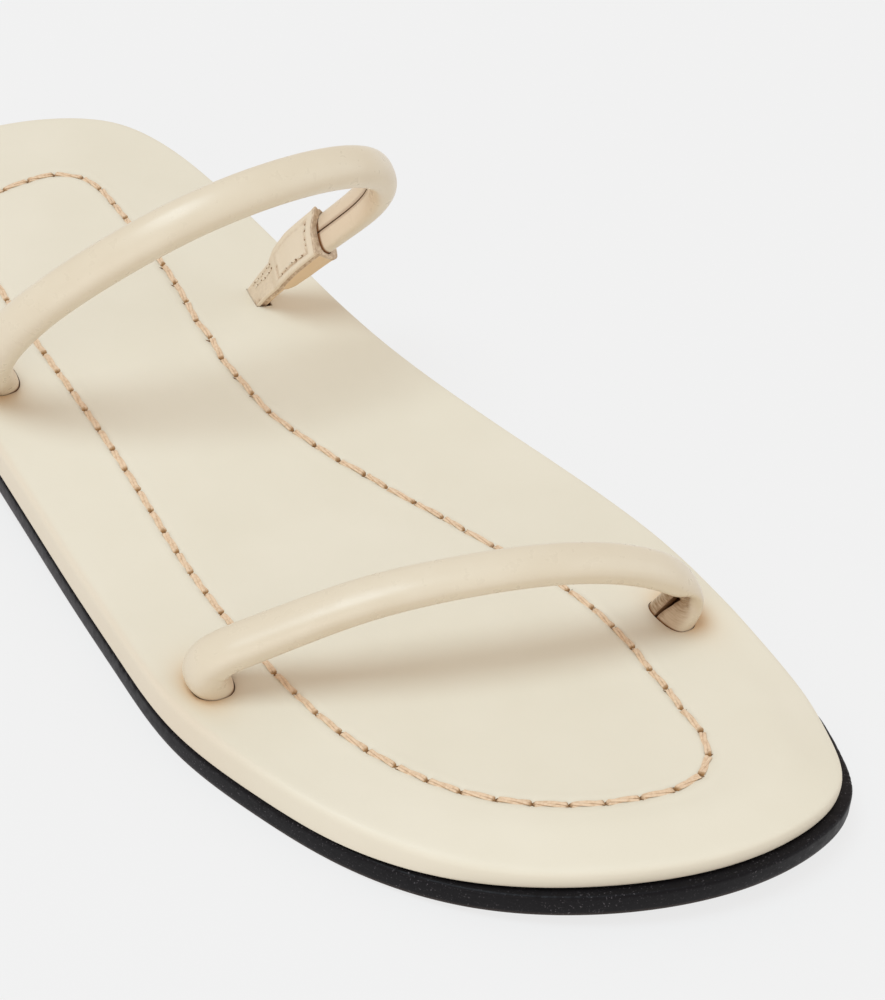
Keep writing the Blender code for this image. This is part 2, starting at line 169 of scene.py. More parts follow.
# Topstitch round the footbed, from the heel up the big-toe side and back down the little-toe side
STITCH_LINE = table(
    "across along",
    (-3.5, -98.2), (-10.0, -98.8), (-16.5, -98.4), (-21.3, -95.8), (-22.8, -90.0), (-22.0, -82.0),
    (-18.0, -60.0), (-12.9, -37.0), (-10.5, -18.0), (-13.4, 4.0), (-17.4, 20.0), (-21.0, 36.0),
    (-24.6, 52.0), (-25.0, 62.0), (-23.4, 74.0), (-20.6, 86.0), (-18.2, 95.5), (-15.0, 100.4),
    (-10.7, 102.8), (-5.0, 102.6), (5.7, 98.7), (15.0, 92.0), (22.5, 83.0), (27.2, 72.5), (30.0, 60.0),
    (30.3, 46.0), (28.7, 26.0), (25.7, 8.0), (21.0, -15.0), (17.4, -38.0), (14.6, -58.0), (10.4, -78.0),
    (4.5, -92.0),
)
STITCH_PITCH = 5.85
STITCH_WANDER = 0.25
STITCH_LINE_STEP = 0.4
TROUGH_DEPTH = 0.2
TROUGH_HALF = 0.9
PUCKER_HEIGHT = 0.06
PUCKER_OUT = 1.8
PUCKER_HALF = 0.8
HOLE_DENT = 0.25
HOLE_DENT_HALF = 0.8

# Twisted thread: its plies, their size, and how it rises out of a hole
Thread = namedtuple("Thread", "plies ply_radius twist_radius turns flat lift dive entry steps")
TOP_THREAD = Thread(plies=3, ply_radius=0.3, twist_radius=0.34, turns=0.5, flat=0.55, lift=0.4, dive=0.45,
                    entry=0.55, steps=24)
TAB_THREAD = Thread(plies=2, ply_radius=0.13, twist_radius=0.11, turns=1.0, flat=0.8, lift=0.1, dive=0.2,
                    entry=0.35, steps=10)
# Painted shade on the plies where they dive into their holes: where it starts, and its reach at the toe's end
# and at the heel's end
DARK_FROM = 0.2
DARK_TO_TOE = (0.15, 0.8)
DARK_TO_HEEL = (0.03, 0.15)
PLY_SIDES = 7
# Painted shade of the pricked holes: a dark chevron plug, its shape, and how far it sits below and above the
# surface
HOLE_HALF_WIDTH = 0.58
HOLE_SWEEP = 0.3
HOLE_STROKE = 0.42
HOLE_BULGE = 0.1
HOLE_NOTCH = 0.3
HOLE_SUNK = 0.4
HOLE_PROUD = 0.06

# Straps: slit centres (across, along), turns of the slits and the medial leg, lean, and size of the tube
Strap = namedtuple("Strap", "lateral medial slit_turns_deg leg_turn_deg lean_deg width thick wall")
FRONT = Strap(lateral=(40.1, 39.1), medial=(-35.1, 69.0), slit_turns_deg=(14.0, 3.0), leg_turn_deg=0.0,
              lean_deg=16.0, width=7.2, thick=5.1, wall=1.2)
REAR = Strap(lateral=(26.5, -46.4), medial=(-28.5, -43.5), slit_turns_deg=(14.0, 14.0), leg_turn_deg=22.0,
             lean_deg=31.0, width=7.7, thick=5.9, wall=1.3)
SLIT_TURN_HEIGHT = 12.0
LEG_FROM = 0.62
LEG_RUN = 0.2
SLIT_DEPTH = 3.6
SLIT_REACH = 8.0
SLIT_SECTIONS = 14
SLIT_GAP = 0.13
SLIT_DIP = 0.3
SLIT_DIP_SPREAD = 0.9
# Painted warm shade round the straps' slits: its spread, its shift away from the foot's middle, and how many
# slits it is painted round
SLIT_SHADE_SPREAD = 1.6
SLIT_SHADE_SHIFT = 1.7
STRAP_SLITS = 3

# Centre line of each arch in its leaning plane: along from the lateral slit, and height above the footbed
FRONT_ARCH = table(
    "along height",
    (0.8, -SLIT_DEPTH), (0.0, 0.0), (-1.4, 3.4), (-0.3, 7.0), (4.4, 10.2), (13.0, 14.2), (24.0, 18.5),
    (36.0, 20.8), (48.0, 21.5), (60.0, 20.5), (71.8, 16.7), (79.4, 11.4), (82.7, 5.9), (81.3, 0.0),
    (80.5, -SLIT_DEPTH),
)
REAR_ARCH = table(
    "along height",
    (1.0, -SLIT_DEPTH), (-0.4, 0.0), (-3.4, 6.0), (-5.4, 13.2), (-4.6, 21.0), (-1.2, 28.7), (4.5, 36.0),
    (12.4, 42.9), (22.0, 48.7), (32.0, 51.8), (42.0, 52.6), (52.3, 51.1), (61.6, 46.6), (67.6, 39.2),
    (68.4, 31.0), (64.6, 23.4), (60.4, 16.4), (57.2, 8.6), (55.8, 2.0), (55.2, -SLIT_DEPTH),
)
HEADING_STEP = 0.6
SECTION_PITCH = 0.35
FINE_LENGTH = 20.0
FINE_PITCH = 0.12
# Painted shade in the cave at the front strap's medial end: how far it reaches, its fade, its share on the
# toe's side near the slit, and how far from the slit it is full all round
CAVE_SHADE_LENGTH = 21.0
CAVE_SHADE_RUN = 5.0
CAVE_SHADE_AT_TOE = 0.45
CAVE_SHADE_TOP = 5.0
# Painted shade on each strap where it is hidden in a slit or under the tab, and on the seam's lips
SUNK_FROM = 0.6
SUNK_RUN = 0.3
LIP_SHADE = 0.5
TUBE_SIDES = 44

# Size of the tube along each strap: share of its length, share of its width and thickness
FRONT_TUBE = table(
    "at width thick",
    (0.00, 1.22, 1.12), (0.06, 1.20, 1.42), (0.12, 1.08, 1.14), (0.24, 1.05, 1.05), (0.45, 1.00, 1.00),
    (0.82, 1.00, 0.97), (0.87, 1.04, 0.84), (0.92, 1.10, 0.78), (1.00, 1.36, 1.20),
)
REAR_TUBE = table(
    "at width thick",
    (0.00, 1.20, 0.98), (0.10, 1.10, 1.02), (0.25, 1.00, 1.00), (0.72, 1.00, 1.00), (0.86, 1.03, 0.82),
    (0.94, 0.99, 0.66), (1.00, 0.86, 0.56),
)

# Slit seam on the foot's side of each strap: share of its length, gap, and turn round the tube
FRONT_SEAM = table(
    "at gap turn_deg",
    (0.00, 0.30, 0.0), (0.60, 0.30, 0.0), (0.84, 0.40, 0.0), (0.895, 1.20, 6.0), (0.935, 1.30, -6.0),
    (0.97, 0.90, -10.0), (1.00, 0.70, -10.0),
)
REAR_SEAM = table(
    "at gap turn_deg",
    (0.00, 0.35, 0.0), (0.40, 0.35, 2.0), (0.70, 0.35, -1.0), (0.85, 0.38, 3.0), (1.00, 0.38, 0.0),
)
INNER_FLATNESS = 3.2
OUTER_FLATNESS = 2.4
SIDE_FLATNESS = 2.4

# Creases of the straps: place, angle round the tube (-90 is the seam), depth, and half sizes of the trough
FRONT_CREASES = table(
    "along around_deg depth half_length half_turn_deg",
    (9.5, -70.0, 0.5, 0.9, 60.0), (12.5, -100.0, 0.3, 0.8, 50.0), (15.5, -80.0, 0.2, 0.9, 50.0),
    (101.6, -20.0, 2.3, 3.6, 34.0), (99.6, -42.0, 0.22, 0.3, 26.0), (100.6, -46.0, 0.26, 0.28, 28.0),
    (101.5, -40.0, 0.22, 0.25, 24.0), (102.4, -48.0, 0.22, 0.28, 26.0), (103.6, -42.0, 0.14, 0.3, 24.0),
    (99.0, -130.0, 0.2, 0.3, 30.0), (100.5, -140.0, 0.18, 0.3, 30.0), (102.2, -132.0, 0.14, 0.3, 30.0),
)
REAR_CREASES = table(
    "along around_deg depth half_length half_turn_deg",
    (5.5, -80.0, 0.3, 0.9, 60.0), (101.0, -75.0, 0.25, 1.1, 50.0), (105.0, -105.0, 0.22, 1.2, 55.0),
    (109.5, -80.0, 0.2, 1.0, 50.0),
)

# Tab: distance from its collar towards the slit, width and thickness there, and shift towards the toe
TAB = table(
    "down width thick forward",
    (0.0, 8.95, 6.4, 0.12), (1.0, 9.0, 6.4, 0.12), (7.0, 8.5, 5.8, 0.2), (11.0, 7.8, 4.8, 0.4),
    (12.6, 7.2, 3.8, 0.55), (14.0, 6.2, 3.0, 0.65), (25.3, 5.8, 2.8, 0.8),
)
TAB_LENGTH = 25.3
TAB_SECTIONS = 150
TAB_OVERLAP = 8.5
TAB_SHIFT = 0.15
TAB_SHIFT_END = 12.6
POCKET_LEAD = 2.0
TAB_FACING = 1.2
TAB_GROOVE = 0.35
TAB_FACE_POINTS = 61
TAB_SEAM_INSET = 1.4
TAB_SEAM_DEPTH = 0.32
TAB_SEAM_HALF = 0.3
TAB_REAR_SEAM = 0.35
TAB_END_SEAM_RUN = 1.6
TAB_DISH = 0.2
TAB_DISH_RUN = 1.2
TAB_PANEL_START = 2.4
TAB_PANEL_END = 11.2
TAB_COLLAR = 1.3
TAB_COLLAR_LIP = 0.15
COLLAR_SHADE = 0.85
POCKET_GAP = 0.15
TAB_STITCH_PITCH = 1.45
TAB_STITCH_LENGTH = 1.0
TAB_STITCH_WANDER = 0.16
TAB_HOLE_RADIUS = (0.1, 0.27)
TAB_GROOVE_TINT = 0.75
TAB_TAIL_TINT = 0.2
TAB_TAIL_RUN = 3.0
# Painted shade towards the tail's tip on the toe's side, where it goes into its slit
TAB_TIP_SHADE_FROM = 18.5
TAB_SKEW = 1.3
TAB_SKEW_RUN = 8.0
TAB_SKEW_DEPTH = 2.0

# Seams of the tab: from and to, each as distance down from the collar and across from the middle
TAB_SEAMS = table(
    "down across to_down to_across",
    (TAB_PANEL_START, -2.6, TAB_PANEL_START, 2.8), (TAB_PANEL_START + 1.2, 2.9, TAB_PANEL_END, 2.4),
    (13.4, -2.1, 20.4, -2.1), (13.2, -1.0, 20.0, -1.1),
)

# Shares of raw edge and of back layer in each part of the tab
TAB_MARKS = {"facing": (0.0, 0.0), "raw": (1.0, 0.0), "back": (0.0, 1.0), "collar": (0.75, 0.0)}

# Side of the tab's section, facing to back: inset, layer it is measured from, rise above that, and mark
TAB_SIDE = table(
    "inset layer rise mark",
    (0.4, "facing", 0.0, "facing"), (0.12, "facing", 0.12, "facing"), (0.0, "facing", 0.4, "facing"),
    (0.0, "groove", -0.7, "facing"), (0.02, "groove", -0.6, "raw"), (TAB_GROOVE, "groove", -0.1, "raw"),
    (TAB_GROOVE, "groove", 0.1, "raw"), (0.2, "groove", 0.4, "raw"), (0.2, "groove", 0.6, "back"),
    (0.22, "back", -1.0, "back"), (0.5, "back", -0.5, "back"), (0.9, "back", -0.15, "back"),
    (1.4, "back", 0.0, "back"),
)


def ease(share):
    """0 to 1 with level ends."""
    share = np.clip(share, 0.0, 1.0)
    return share * share * (3.0 - 2.0 * share)


def hump(distance, half):
    """1 at no distance, falling away smoothly."""
    return np.exp(-(distance / half) ** 2)


def columns_at(rows, at, *columns):
    """Values of a table's columns between its rows, by its first column."""
    places = [row[0] for row in rows]
    return [np.interp(at, places, [getattr(row, column) for row in rows]) for column in columns]


def between_rows(at, places, values):
    """Value at a place between rows, level at each row."""
    number = int(np.clip(np.searchsorted(places, at) - 1, 0, len(places) - 2))
    share = ease((at - places[number]) / (places[number + 1] - places[number]))
    return values[number] + (values[number + 1] - values[number]) * share


def through(points, per_span=SPAN_STEPS):
    """Smooth polyline through points: a natural cubic spline by chord length."""
    points = np.array(points, float)
    knots = np.concatenate([[0.0], np.cumsum(np.linalg.norm(np.diff(points, axis=0), axis=1))])
    gaps = np.diff(knots)
    system = np.eye(len(points))
    pull = np.zeros_like(points)
    for i in range(1, len(points) - 1):
        system[i, i - 1:i + 2] = gaps[i - 1], 2.0 * (gaps[i - 1] + gaps[i]), gaps[i]
        rise_after = (points[i + 1] - points[i]) / gaps[i]
        rise_before = (points[i] - points[i - 1]) / gaps[i - 1]
        pull[i] = 6.0 * (rise_after - rise_before)
    bend = np.linalg.solve(system, pull)
    line = [points[0]]
    for i, gap in enumerate(gaps):
        for t in np.linspace(0.0, 1.0, per_span + 1)[1:]:
            s = 1.0 - t
            chord = s * points[i] + t * points[i + 1]
            line.append(chord + gap * gap / 6.0 * ((s ** 3 - s) * bend[i] + (t ** 3 - t) * bend[i + 1]))
    return np.array(line)


def closed_through(points):
    """Smooth closed polyline through points; its last point is its first."""
    wrap = 4
    points = [tuple(point) for point in points]
    line = through(points[-wrap:] + points + points[:wrap + 1])
    first = SPAN_STEPS * wrap
    return line[first:first + SPAN_STEPS * len(points) + 1]


def lengths(line):
    return np.concatenate([[0.0], np.cumsum(np.linalg.norm(np.diff(line, axis=0), axis=1))])


def resample(line, places):
    """Points of a polyline at the given distances along it."""
    run = lengths(line)
    return np.stack([np.interp(places, run, line[:, axis]) for axis in range(line.shape[1])], axis=1)


def toe_rise(y):
    return TOE_SPRING * np.clip((y - TOE_SPRING_FROM) / TOE_SPRING_RUN, 0.0, None) ** 2


def heel_rise(y):
    return HEEL_LIFT * ease((HEEL_LIFT_FROM - y) / HEEL_LIFT_RUN)


def ground_face(y):
    """Lower face of the outsole: flat at ball and heel, arched between, sprung at the toe."""
    return toe_rise(y) + heel_rise(y) * (1.0 - ease((HEEL_BLOCK_FROM - y) / HEEL_BLOCK_RUN))


def seat_face(y):
    """Upper face of the outsole, where the footbed sits."""
    return toe_rise(y) + heel_rise(y) + OUTSOLE_THICK


def footbed_top(y):
    return seat_face(y) + GAP + FOOTBED_THICK


def toe_share(y):
    return ease((y - TOE_THIN_FROM) / TOE_THIN_RUN)


def toe_thin(y, inset):
    """How much lower the footbed's top is near its edge at the toe."""
    return TOE_THIN * toe_share(y) * (1.0 - ease(inset / TOE_THIN_MARGIN))


def outline_loop(steps):
    """Closed outline from above, heel tip first, up the little-toe side and back down the big-toe side."""
    lateral = [(row.lateral, row.along) for row in OUTLINE]
    medial = [(row.medial, row.along) for row in reversed(OUTLINE)]
    line = closed_through([HEEL_TIP] + lateral + [TOE_TIP] + medial)
    middle = SPAN_STEPS * (len(lateral) + 1)
    halves = []
    for half in (line[:middle + 1], line[middle:]):
        places = np.linspace(0.0, lengths(half)[-1], steps + 1)
        halves.append(resample(half, places)[:-1])
    return np.vstack(halves)


def outward(loop):
    """Unit normals of a closed counter-clockwise outline."""
    run = np.roll(loop, -1, axis=0) - np.roll(loop, 1, axis=0)
    side = np.stack([run[:, 1], -run[:, 0]], axis=1)
    return side / np.linalg.norm(side, axis=1)[:, None]


def footbed_inset(loop, normals):
    """The footbed steps in at the toe, where the outsole is proud, and is almost flush elsewhere."""
    outer = ease(0.5 + 0.5 * normals[:, 0])
    setback = FOOTBED_SETBACK - FOOTBED_LATERAL_OVERHANG * outer
    start = TOE_LEDGE_FROM + TOE_LEDGE_LATERAL_LAG * outer
    ledge = TOE_LEDGE + TOE_LEDGE_MEDIAL_EXTRA * ease(-normals[:, 0])
    return setback + (ledge - setback) * ease((loop[:, 1] - start) / TOE_LEDGE_RUN)


class Surface:
    """Points and faces of one piece, in millimetres."""

    def __init__(self):
        self.points = np.zeros((0, 3))
        self.faces = []

    def add(self, points):
        """Add points and give their numbers."""
        first = len(self.points)
        self.points = np.vstack([self.points, points])
        return np.arange(first, len(self.points))

    def skin(self, rings):
        """Faces between closed rings with equal counts, one after the other."""
        for near, far in zip(rings, rings[1:]):
            quads = np.column_stack([near, np.roll(near, -1), np.roll(far, -1), far])
            self.faces.extend(quads.tolist())

    def rows(self, near, far):
        """Faces between two open rows with equal counts."""
        quads = np.column_stack([near[:-1], near[1:], far[1:], far[:-1]])
        self.faces.extend(quads.tolist())

    def fan(self, tip, row):
        for a, b in zip(row[:-1], row[1:]):
            self.faces.append([tip, a, b])

    def loft(self, sections):
        """Closed sections joined one after the other, with flat ends."""
        rings = [self.add(section) for section in sections]
        self.skin(rings)
        self.faces.append(rings[0][::-1].tolist())
        self.faces.append(rings[-1].tolist())

    def cap(self, ring, columns, height):
        """Fill a sole-shaped ring with rows from the little-toe side to the big-toe side."""
        half = len(ring) // 2
        left = self.points[ring[1:half]]
        right = self.points[ring[:half:-1]]
        shares = np.linspace(0.0, 1.0, columns + 2)[1:-1]
        flat = left[:, None, :2] + shares[None, :, None] * (right - left)[:, None, :2]
        flat = flat.reshape(-1, 2)
        inner = self.add(np.column_stack([flat, height(flat)])).reshape(half - 1, columns)
        rows = np.column_stack([ring[1:half], inner, ring[:half:-1]])
        for near, far in zip(rows, rows[1:]):
            self.rows(near, far)
        self.fan(ring[0], rows[0])
        self.fan(ring[half], rows[-1])

    def piece(self, name, material):
        """Make the object, facing out."""
        data = bpy.data.meshes.new(name)
        data.from_pydata((self.points * MM).tolist(), [], self.faces)
        mesh = bmesh.new()
        mesh.from_mesh(data)
        long_faces = [face for face in mesh.faces if len(face.verts) > 4]
        bmesh.ops.triangulate(mesh, faces=long_faces)
        bmesh.ops.recalc_face_normals(mesh, faces=mesh.faces)
        mesh.to_mesh(data)
        mesh.free()
        item = bpy.data.objects.new(name, data)
        bpy.context.scene.collection.objects.link(item)
        finish_mesh(item, material)
        return item


def finish_mesh(item, material):
    """Shade a mesh smoothly but for its sharp edges, in one material."""
    item.data.shade_smooth()
    item.data.set_sharp_from_angle(angle=math.radians(SHARP_DEG))
    item.data.materials.clear()
    item.data.materials.append(material)


def points_of(item):
    """An object's points in millimetres."""
    flat = np.zeros(len(item.data.vertices) * 3)
    item.data.vertices.foreach_get("co", flat)
    return flat.reshape(-1, 3) / MM


def paint(item, name, values):
    """Store one number for each point, for the material to read."""
    attribute = item.data.attributes.new(name, 'FLOAT', 'POINT')
    attribute.data.foreach_set("value", np.asarray(values, np.float32))


def cut(item, cutters):
    """Boolean difference, applied."""
    for cutter in cutters:
        change = item.modifiers.new(cutter.name, 'BOOLEAN')
        change.operation = 'DIFFERENCE'
        change.solver = 'EXACT'
        change.object = cutter
    depsgraph = bpy.context.evaluated_depsgraph_get()
    whole = item.data
    item.data = bpy.data.meshes.new_from_object(item.evaluated_get(depsgraph))
    item.modifiers.clear()
    item.data.name = whole.name
    for cutter in cutters:
        bpy.data.objects.remove(cutter, do_unlink=True)


class Topstitch:
    """The sewn line round the footbed and its holes."""

    def __init__(self):
        self.line = closed_through(STITCH_LINE)
        length = lengths(self.line)[-1]
        self.count = round(length / STITCH_PITCH)
        self.pitch = length / self.count
        places = (np.arange(self.count) + 0.5) * self.pitch
        self.holes = resample(self.line, places)
        fine = resample(self.line, np.arange(0.0, length, STITCH_LINE_STEP))
        self.line_tree = tree_of(fine)
        self.hole_tree = tree_of(self.holes)

    def line_distance(self, flat):
        return nearest(self.line_tree, flat)

    def hole_distance(self, flat):
        return nearest(self.hole_tree, flat)


def tree_of(points):
    """Search tree of points in space or seen from above."""
    tree = kdtree.KDTree(len(points))
    for number, point in enumerate(points):
        tree.insert(Vector(point).to_3d(), number)
    tree.balance()
    return tree


def nearest(tree, flat):
    """Distance from each point, seen from above, to the closest one in a tree."""
    return np.array([tree.find((x, y, 0.0))[2] for x, y in flat])


# A slit where it meets the footbed's top: centre, direction of its length, half length and half width
Slit = namedtuple("Slit", "centre way half_length half_width")


def slit_at(arch, place, width, thick):
    """The slit round a strap end, where it meets the footbed's top."""
    centre, wide, _ = arch.frame(place)
    return Slit(centre[:2], wide[:2] / np.linalg.norm(wide[:2]), width / 2.0, thick / 2.0)


def slit_distance(slit, flat):
    """Distance outside a slit's oval edge, in millimetres, and 0 inside it."""
    width_way = np.array([slit.way[1], -slit.way[0]])
    offset = flat - slit.centre
    oval = np.hypot(offset @ slit.way / slit.half_length, offset @ width_way / slit.half_width)
    return np.maximum(oval - 1.0, 0.0) * slit.half_width


def unevenness(flat):
    """Slow rise and fall of leather over its board."""
    x, y = flat[:, 0], flat[:, 1]
    broad = np.sin(y / BROAD_ALONG + BROAD_SWING * np.sin(x / BROAD_SWING_LENGTH) + BROAD_STARTS[0])
    broad *= np.cos(x / BROAD_ACROSS + BROAD_STARTS[1])
    short = np.sin(x / SHORT_ACROSS + SHORT_SWING * np.sin(y / SHORT_SWING_LENGTH))
    short *= np.sin(y / SHORT_ALONG + SHORT_START)
    return BROAD_RISE * broad + SHORT_RISE * short


class Bed:
    """Top of the footbed: its height with the sewn trough, the holes and the dips round the slits."""

    def __init__(self, stitch, slits):
        self.stitch = stitch
        self.slits = slits

    def relief(self, flat):
        off_line = self.stitch.line_distance(flat)
        height = unevenness(flat)
        height -= TROUGH_DEPTH * hump(off_line, TROUGH_HALF)
        height += PUCKER_HEIGHT * hump(off_line - PUCKER_OUT, PUCKER_HALF)
        height -= HOLE_DENT * hump(self.stitch.hole_distance(flat), HOLE_DENT_HALF)
        return height - SLIT_DIP * self.near_slit(flat, SLIT_DIP_SPREAD)

    def height(self, flat):
        return footbed_top(flat[:, 1]) + self.relief(flat)

    def near_slit(self, flat, spread, shift=0.0, count=None):
        """1 at the edge of a slit, or of a slit shifted away from the foot, fading out over a distance."""
        near = np.zeros(len(flat))
        for slit in self.slits[:count]:
            outer = slit.centre + (math.copysign(shift, slit.centre[0]), 0.0)
            near = np.maximum(near, np.exp(-slit_distance(slit._replace(centre=outer), flat) / spread))
        return near


def footbed_rings(surface, bed, loop, normals, extra):
    """Rings of the footbed from its seat over its edge to its flat top."""
    at_toe = toe_share(loop[:, 1])
    rings = []
    for inset, toe_inset, drop in through(BED_EDGE, BED_EDGE_STEPS):
        reach = inset + (toe_inset - inset) * at_toe
        flat = loop - normals * (reach + extra)[:, None]
        thinner = toe_thin(flat[:, 1], reach) * (1.0 - drop / FOOTBED_THICK)
        height = footbed_top(flat[:, 1]) - drop - thinner
        fade = 1.0 - ease(drop / RELIEF_FADE)
        if fade > 0.0:
            height = height + fade * bed.relief(flat)
        rings.append(surface.add(np.column_stack([flat, height])))
    seat_flat = loop - normals * (SEAT_INSET + extra)[:, None]
    seat = surface.add(np.column_stack([seat_flat, seat_face(seat_flat[:, 1]) + GAP]))
    return [seat] + rings


def paint_footbed(item, bed, edge):
    """Painted warm shade round the straps' slits, painted shade in the insides of all slits, and painted
    shade along the top edge on the little-toe side.
    """
    points = points_of(item)
    flat = points[:, :2]
    sunk = footbed_top(flat[:, 1]) - points[:, 2]
    at_slit = bed.near_slit(flat, SLIT_SHADE_SPREAD) > SLIT_NEAR
    on_side = (1.0 - ease((flat[:, 1] - EDGE_SHADE_END) / EDGE_SHADE_RUN)) * (flat[:, 0] > 0.0)
    # Painted warm shade round the straps' slits
    paint(item, "slit_shade", bed.near_slit(flat, SLIT_SHADE_SPREAD, SLIT_SHADE_SHIFT, STRAP_SLITS))
    # Painted shade in the insides of the slits
    paint(item, "recess_shade", ease((sunk - SLIT_DEEP_FROM) / SLIT_DEEP_RUN) * at_slit)
    # Painted shade along the top edge, kept to the little-toe side
    paint(item, "rim", hump(nearest(tree_of(edge), flat) - EDGE_SHADE_INSET, EDGE_SHADE_HALF) * on_side)


def footbed_piece(bed, cutters, material):
    """Leather-wrapped footbed with its slits."""
    loop = outline_loop(BED_STEPS)
    normals = outward(loop)
    extra = footbed_inset(loop, normals)
    surface = Surface()
    rings = footbed_rings(surface, bed, loop, normals, extra)
    surface.skin(rings)
    surface.cap(rings[0], SEAT_COLUMNS, lambda flat: seat_face(flat[:, 1]) + GAP)
    surface.cap(rings[-1], BED_COLUMNS, bed.height)
    item = surface.piece("footbed_leather", material)
    cut(item, cutters)
    finish_mesh(item, material)
    paint_footbed(item, bed, loop - normals * extra[:, None])
    return item


def torn(loop):
    """How much the outsole's top edge is torn at each point of its outline: patches of fine nicks."""
    run = lengths(loop)
    worst = hump(loop[:, 1] - TORN_WORST, TORN_STRETCH) * (loop[:, 0] > 0.0)
    nicks = []
    for place, more in zip(run, worst):
        patch = more + ease(TORN_MEAN + TORN_SPREAD * noise.noise((place / TORN_STRETCH, *PATCH_ROW)))
        nick = noise.noise((place / TORN_PITCH, *NICK_ROW))
        nick += FINE_NICK * noise.noise((place * FINE_NICK_TIMES / TORN_PITCH, *FINE_NICK_ROW))
        nicks.append(patch * max(0.0, nick))
    return np.array(nicks) * TORN_DEPTH


def outsole_piece(material):
    """Thin black sole with a nicked top edge."""
    loop = outline_loop(SOLE_STEPS)
    normals = outward(loop)
    nicks = torn(loop)
    surface = Surface()
    rings = []
    for row in SOLE_EDGE:
        flat = loop - normals * (row.inset + TORN_INSET * row.torn * nicks)[:, None]
        y = flat[:, 1]
        height = ground_face(y) + row.share * (seat_face(y) - ground_face(y)) + row.rise - row.torn * nicks
        rings.append(surface.add(np.column_stack([flat, height])))
    surface.skin(rings)
    surface.cap(rings[0], SOLE_COLUMNS, lambda flat: ground_face(flat[:, 1]))
    surface.cap(rings[-1], SOLE_COLUMNS, lambda flat: seat_face(flat[:, 1]))
    item = surface.piece("outsole_rubber", material)
    points = points_of(item)
    rise = points[:, 2] - ground_face(points[:, 1])
    paint(item, "foot_rim", 1.0 - ease(rise / FOOT_RIM))
    # Painted sheen: lighter towards the heel and below the top edge
    share = rise / (seat_face(points[:, 1]) - ground_face(points[:, 1]))
    below_edge = 1.0 - ease((share - SHEEN_TOP) / SHEEN_TOP_RUN)
    paint(item, "painted_sheen", below_edge * ease((SHEEN_FROM - points[:, 1]) / SHEEN_RUN))
    return item


def turned(way, angle_deg):
    """A direction turned about the vertical, from the toe towards the little-toe side."""
    c, s = math.cos(math.radians(angle_deg)), math.sin(math.radians(angle_deg))
    return np.array([c * way[0] + s * way[1], c * way[1] - s * way[0], way[2]])


class Arch:
    """Centre line of a strap with its directions: along it, across its width and out from the foot."""

    def __init__(self, strap, rows):
        start, end = (np.array([*slit, footbed_top(slit[1])]) for slit in (strap.lateral, strap.medial))
        along = (end - start) / np.linalg.norm(end - start)
        upright = np.array([0.0, 0.0, 1.0]) - along * along[2]
        upright /= np.linalg.norm(upright)
        forward = np.cross(upright, along)
        forward *= math.copysign(1.0, forward[1])
        lean = math.radians(strap.lean_deg)
        rise = upright * math.cos(lean) + forward * math.sin(lean)
        flat = through(rows)
        self.line = start + flat[:, :1] * along + flat[:, 1:] * rise
        self.height = flat[:, 1]
        self.run = lengths(self.line)
        self.length = self.run[-1]
        self.arch_width = forward * math.cos(lean) - upright * math.sin(lean)
        self.slit_widths = [turned(np.array([0.0, 1.0, 0.0]), angle) for angle in strap.slit_turns_deg]
        self.leg_turn_deg = strap.leg_turn_deg

    def frame(self, place):
        """Centre, width direction and outward direction at a distance along the strap, or past its end."""
        near = min(max(place, 0.0), self.length)
        around = max(near - HEADING_STEP, 0.0), near, min(near + HEADING_STEP, self.length)
        before, centre, after = resample(self.line, around)
        heading = (after - before) / np.linalg.norm(after - before)
        free = ease(np.interp(near, self.run, self.height) / SLIT_TURN_HEIGHT)
        leg = ease((near / self.length - LEG_FROM) / LEG_RUN)
        slit_width = self.slit_widths[int(near > self.length / 2.0)]
        width = slit_width * (1.0 - free) + turned(self.arch_width, leg * self.leg_turn_deg) * free
        width /= np.linalg.norm(width)
        out = np.cross(width, heading)
        return centre + heading * (place - near), width, out / np.linalg.norm(out)


def bulge(angles, half_width, half_thick):
    """Points of the rolled tube's outline: flat on the foot's side, domed outside."""
    c, s = np.cos(angles), np.sin(angles)
    flatness = np.where(s > 0.0, OUTER_FLATNESS, INNER_FLATNESS)
    across = half_width * np.sign(c) * np.abs(c) ** (2.0 / SIDE_FLATNESS)
    outwards = half_thick * np.sign(s) * np.abs(s) ** (2.0 / flatness)
    return np.column_stack([across, outwards])


def tube_angles(width, opening):
    """Angles from one lip of the slit seam round the outside to the other lip."""
    half_gap = math.asin((opening / width) ** (SIDE_FLATNESS / 2.0))
    return np.linspace(-math.pi / 2 + half_gap, 1.5 * math.pi - half_gap, TUBE_SIDES)


def turn_between(angles, target):
    """Smallest angle to a target, in degrees."""
    apart = np.degrees(angles) - target
    return np.abs((apart + 180.0) % 360.0 - 180.0)


def crease_depth(creases, place, angles):
    depth = np.zeros(len(angles))
    for row in creases:
        bend = hump(turn_between(angles, row.around_deg), row.half_turn_deg)
        depth += row.depth * bend * hump(place - row.along, row.half_length)
    return depth


def rolled_section(width, thick, wall, seam, creases, place):
    """Leather rolled into a tube: outside from lip to lip, then back along the inside."""
    gap, turn_deg = seam
    turn = math.radians(turn_deg)
    angles = tube_angles(width, gap) + turn
    outside = bulge(angles, width / 2.0, thick / 2.0)
    away = outside / np.linalg.norm(outside, axis=1)[:, None]
    dents = away * crease_depth(creases, place, angles)[:, None]
    inner_angles = tube_angles(width - 2.0 * wall, gap) + turn
    inside = bulge(inner_angles, width / 2.0 - wall, thick / 2.0 - wall)
    return np.vstack([outside - dents, (inside - dents)[::-1]])


def filled_section(width, thick):
    angles = np.linspace(-math.pi / 2, 1.5 * math.pi, TUBE_SIDES, endpoint=False)
    return bulge(angles, width / 2.0, thick / 2.0)


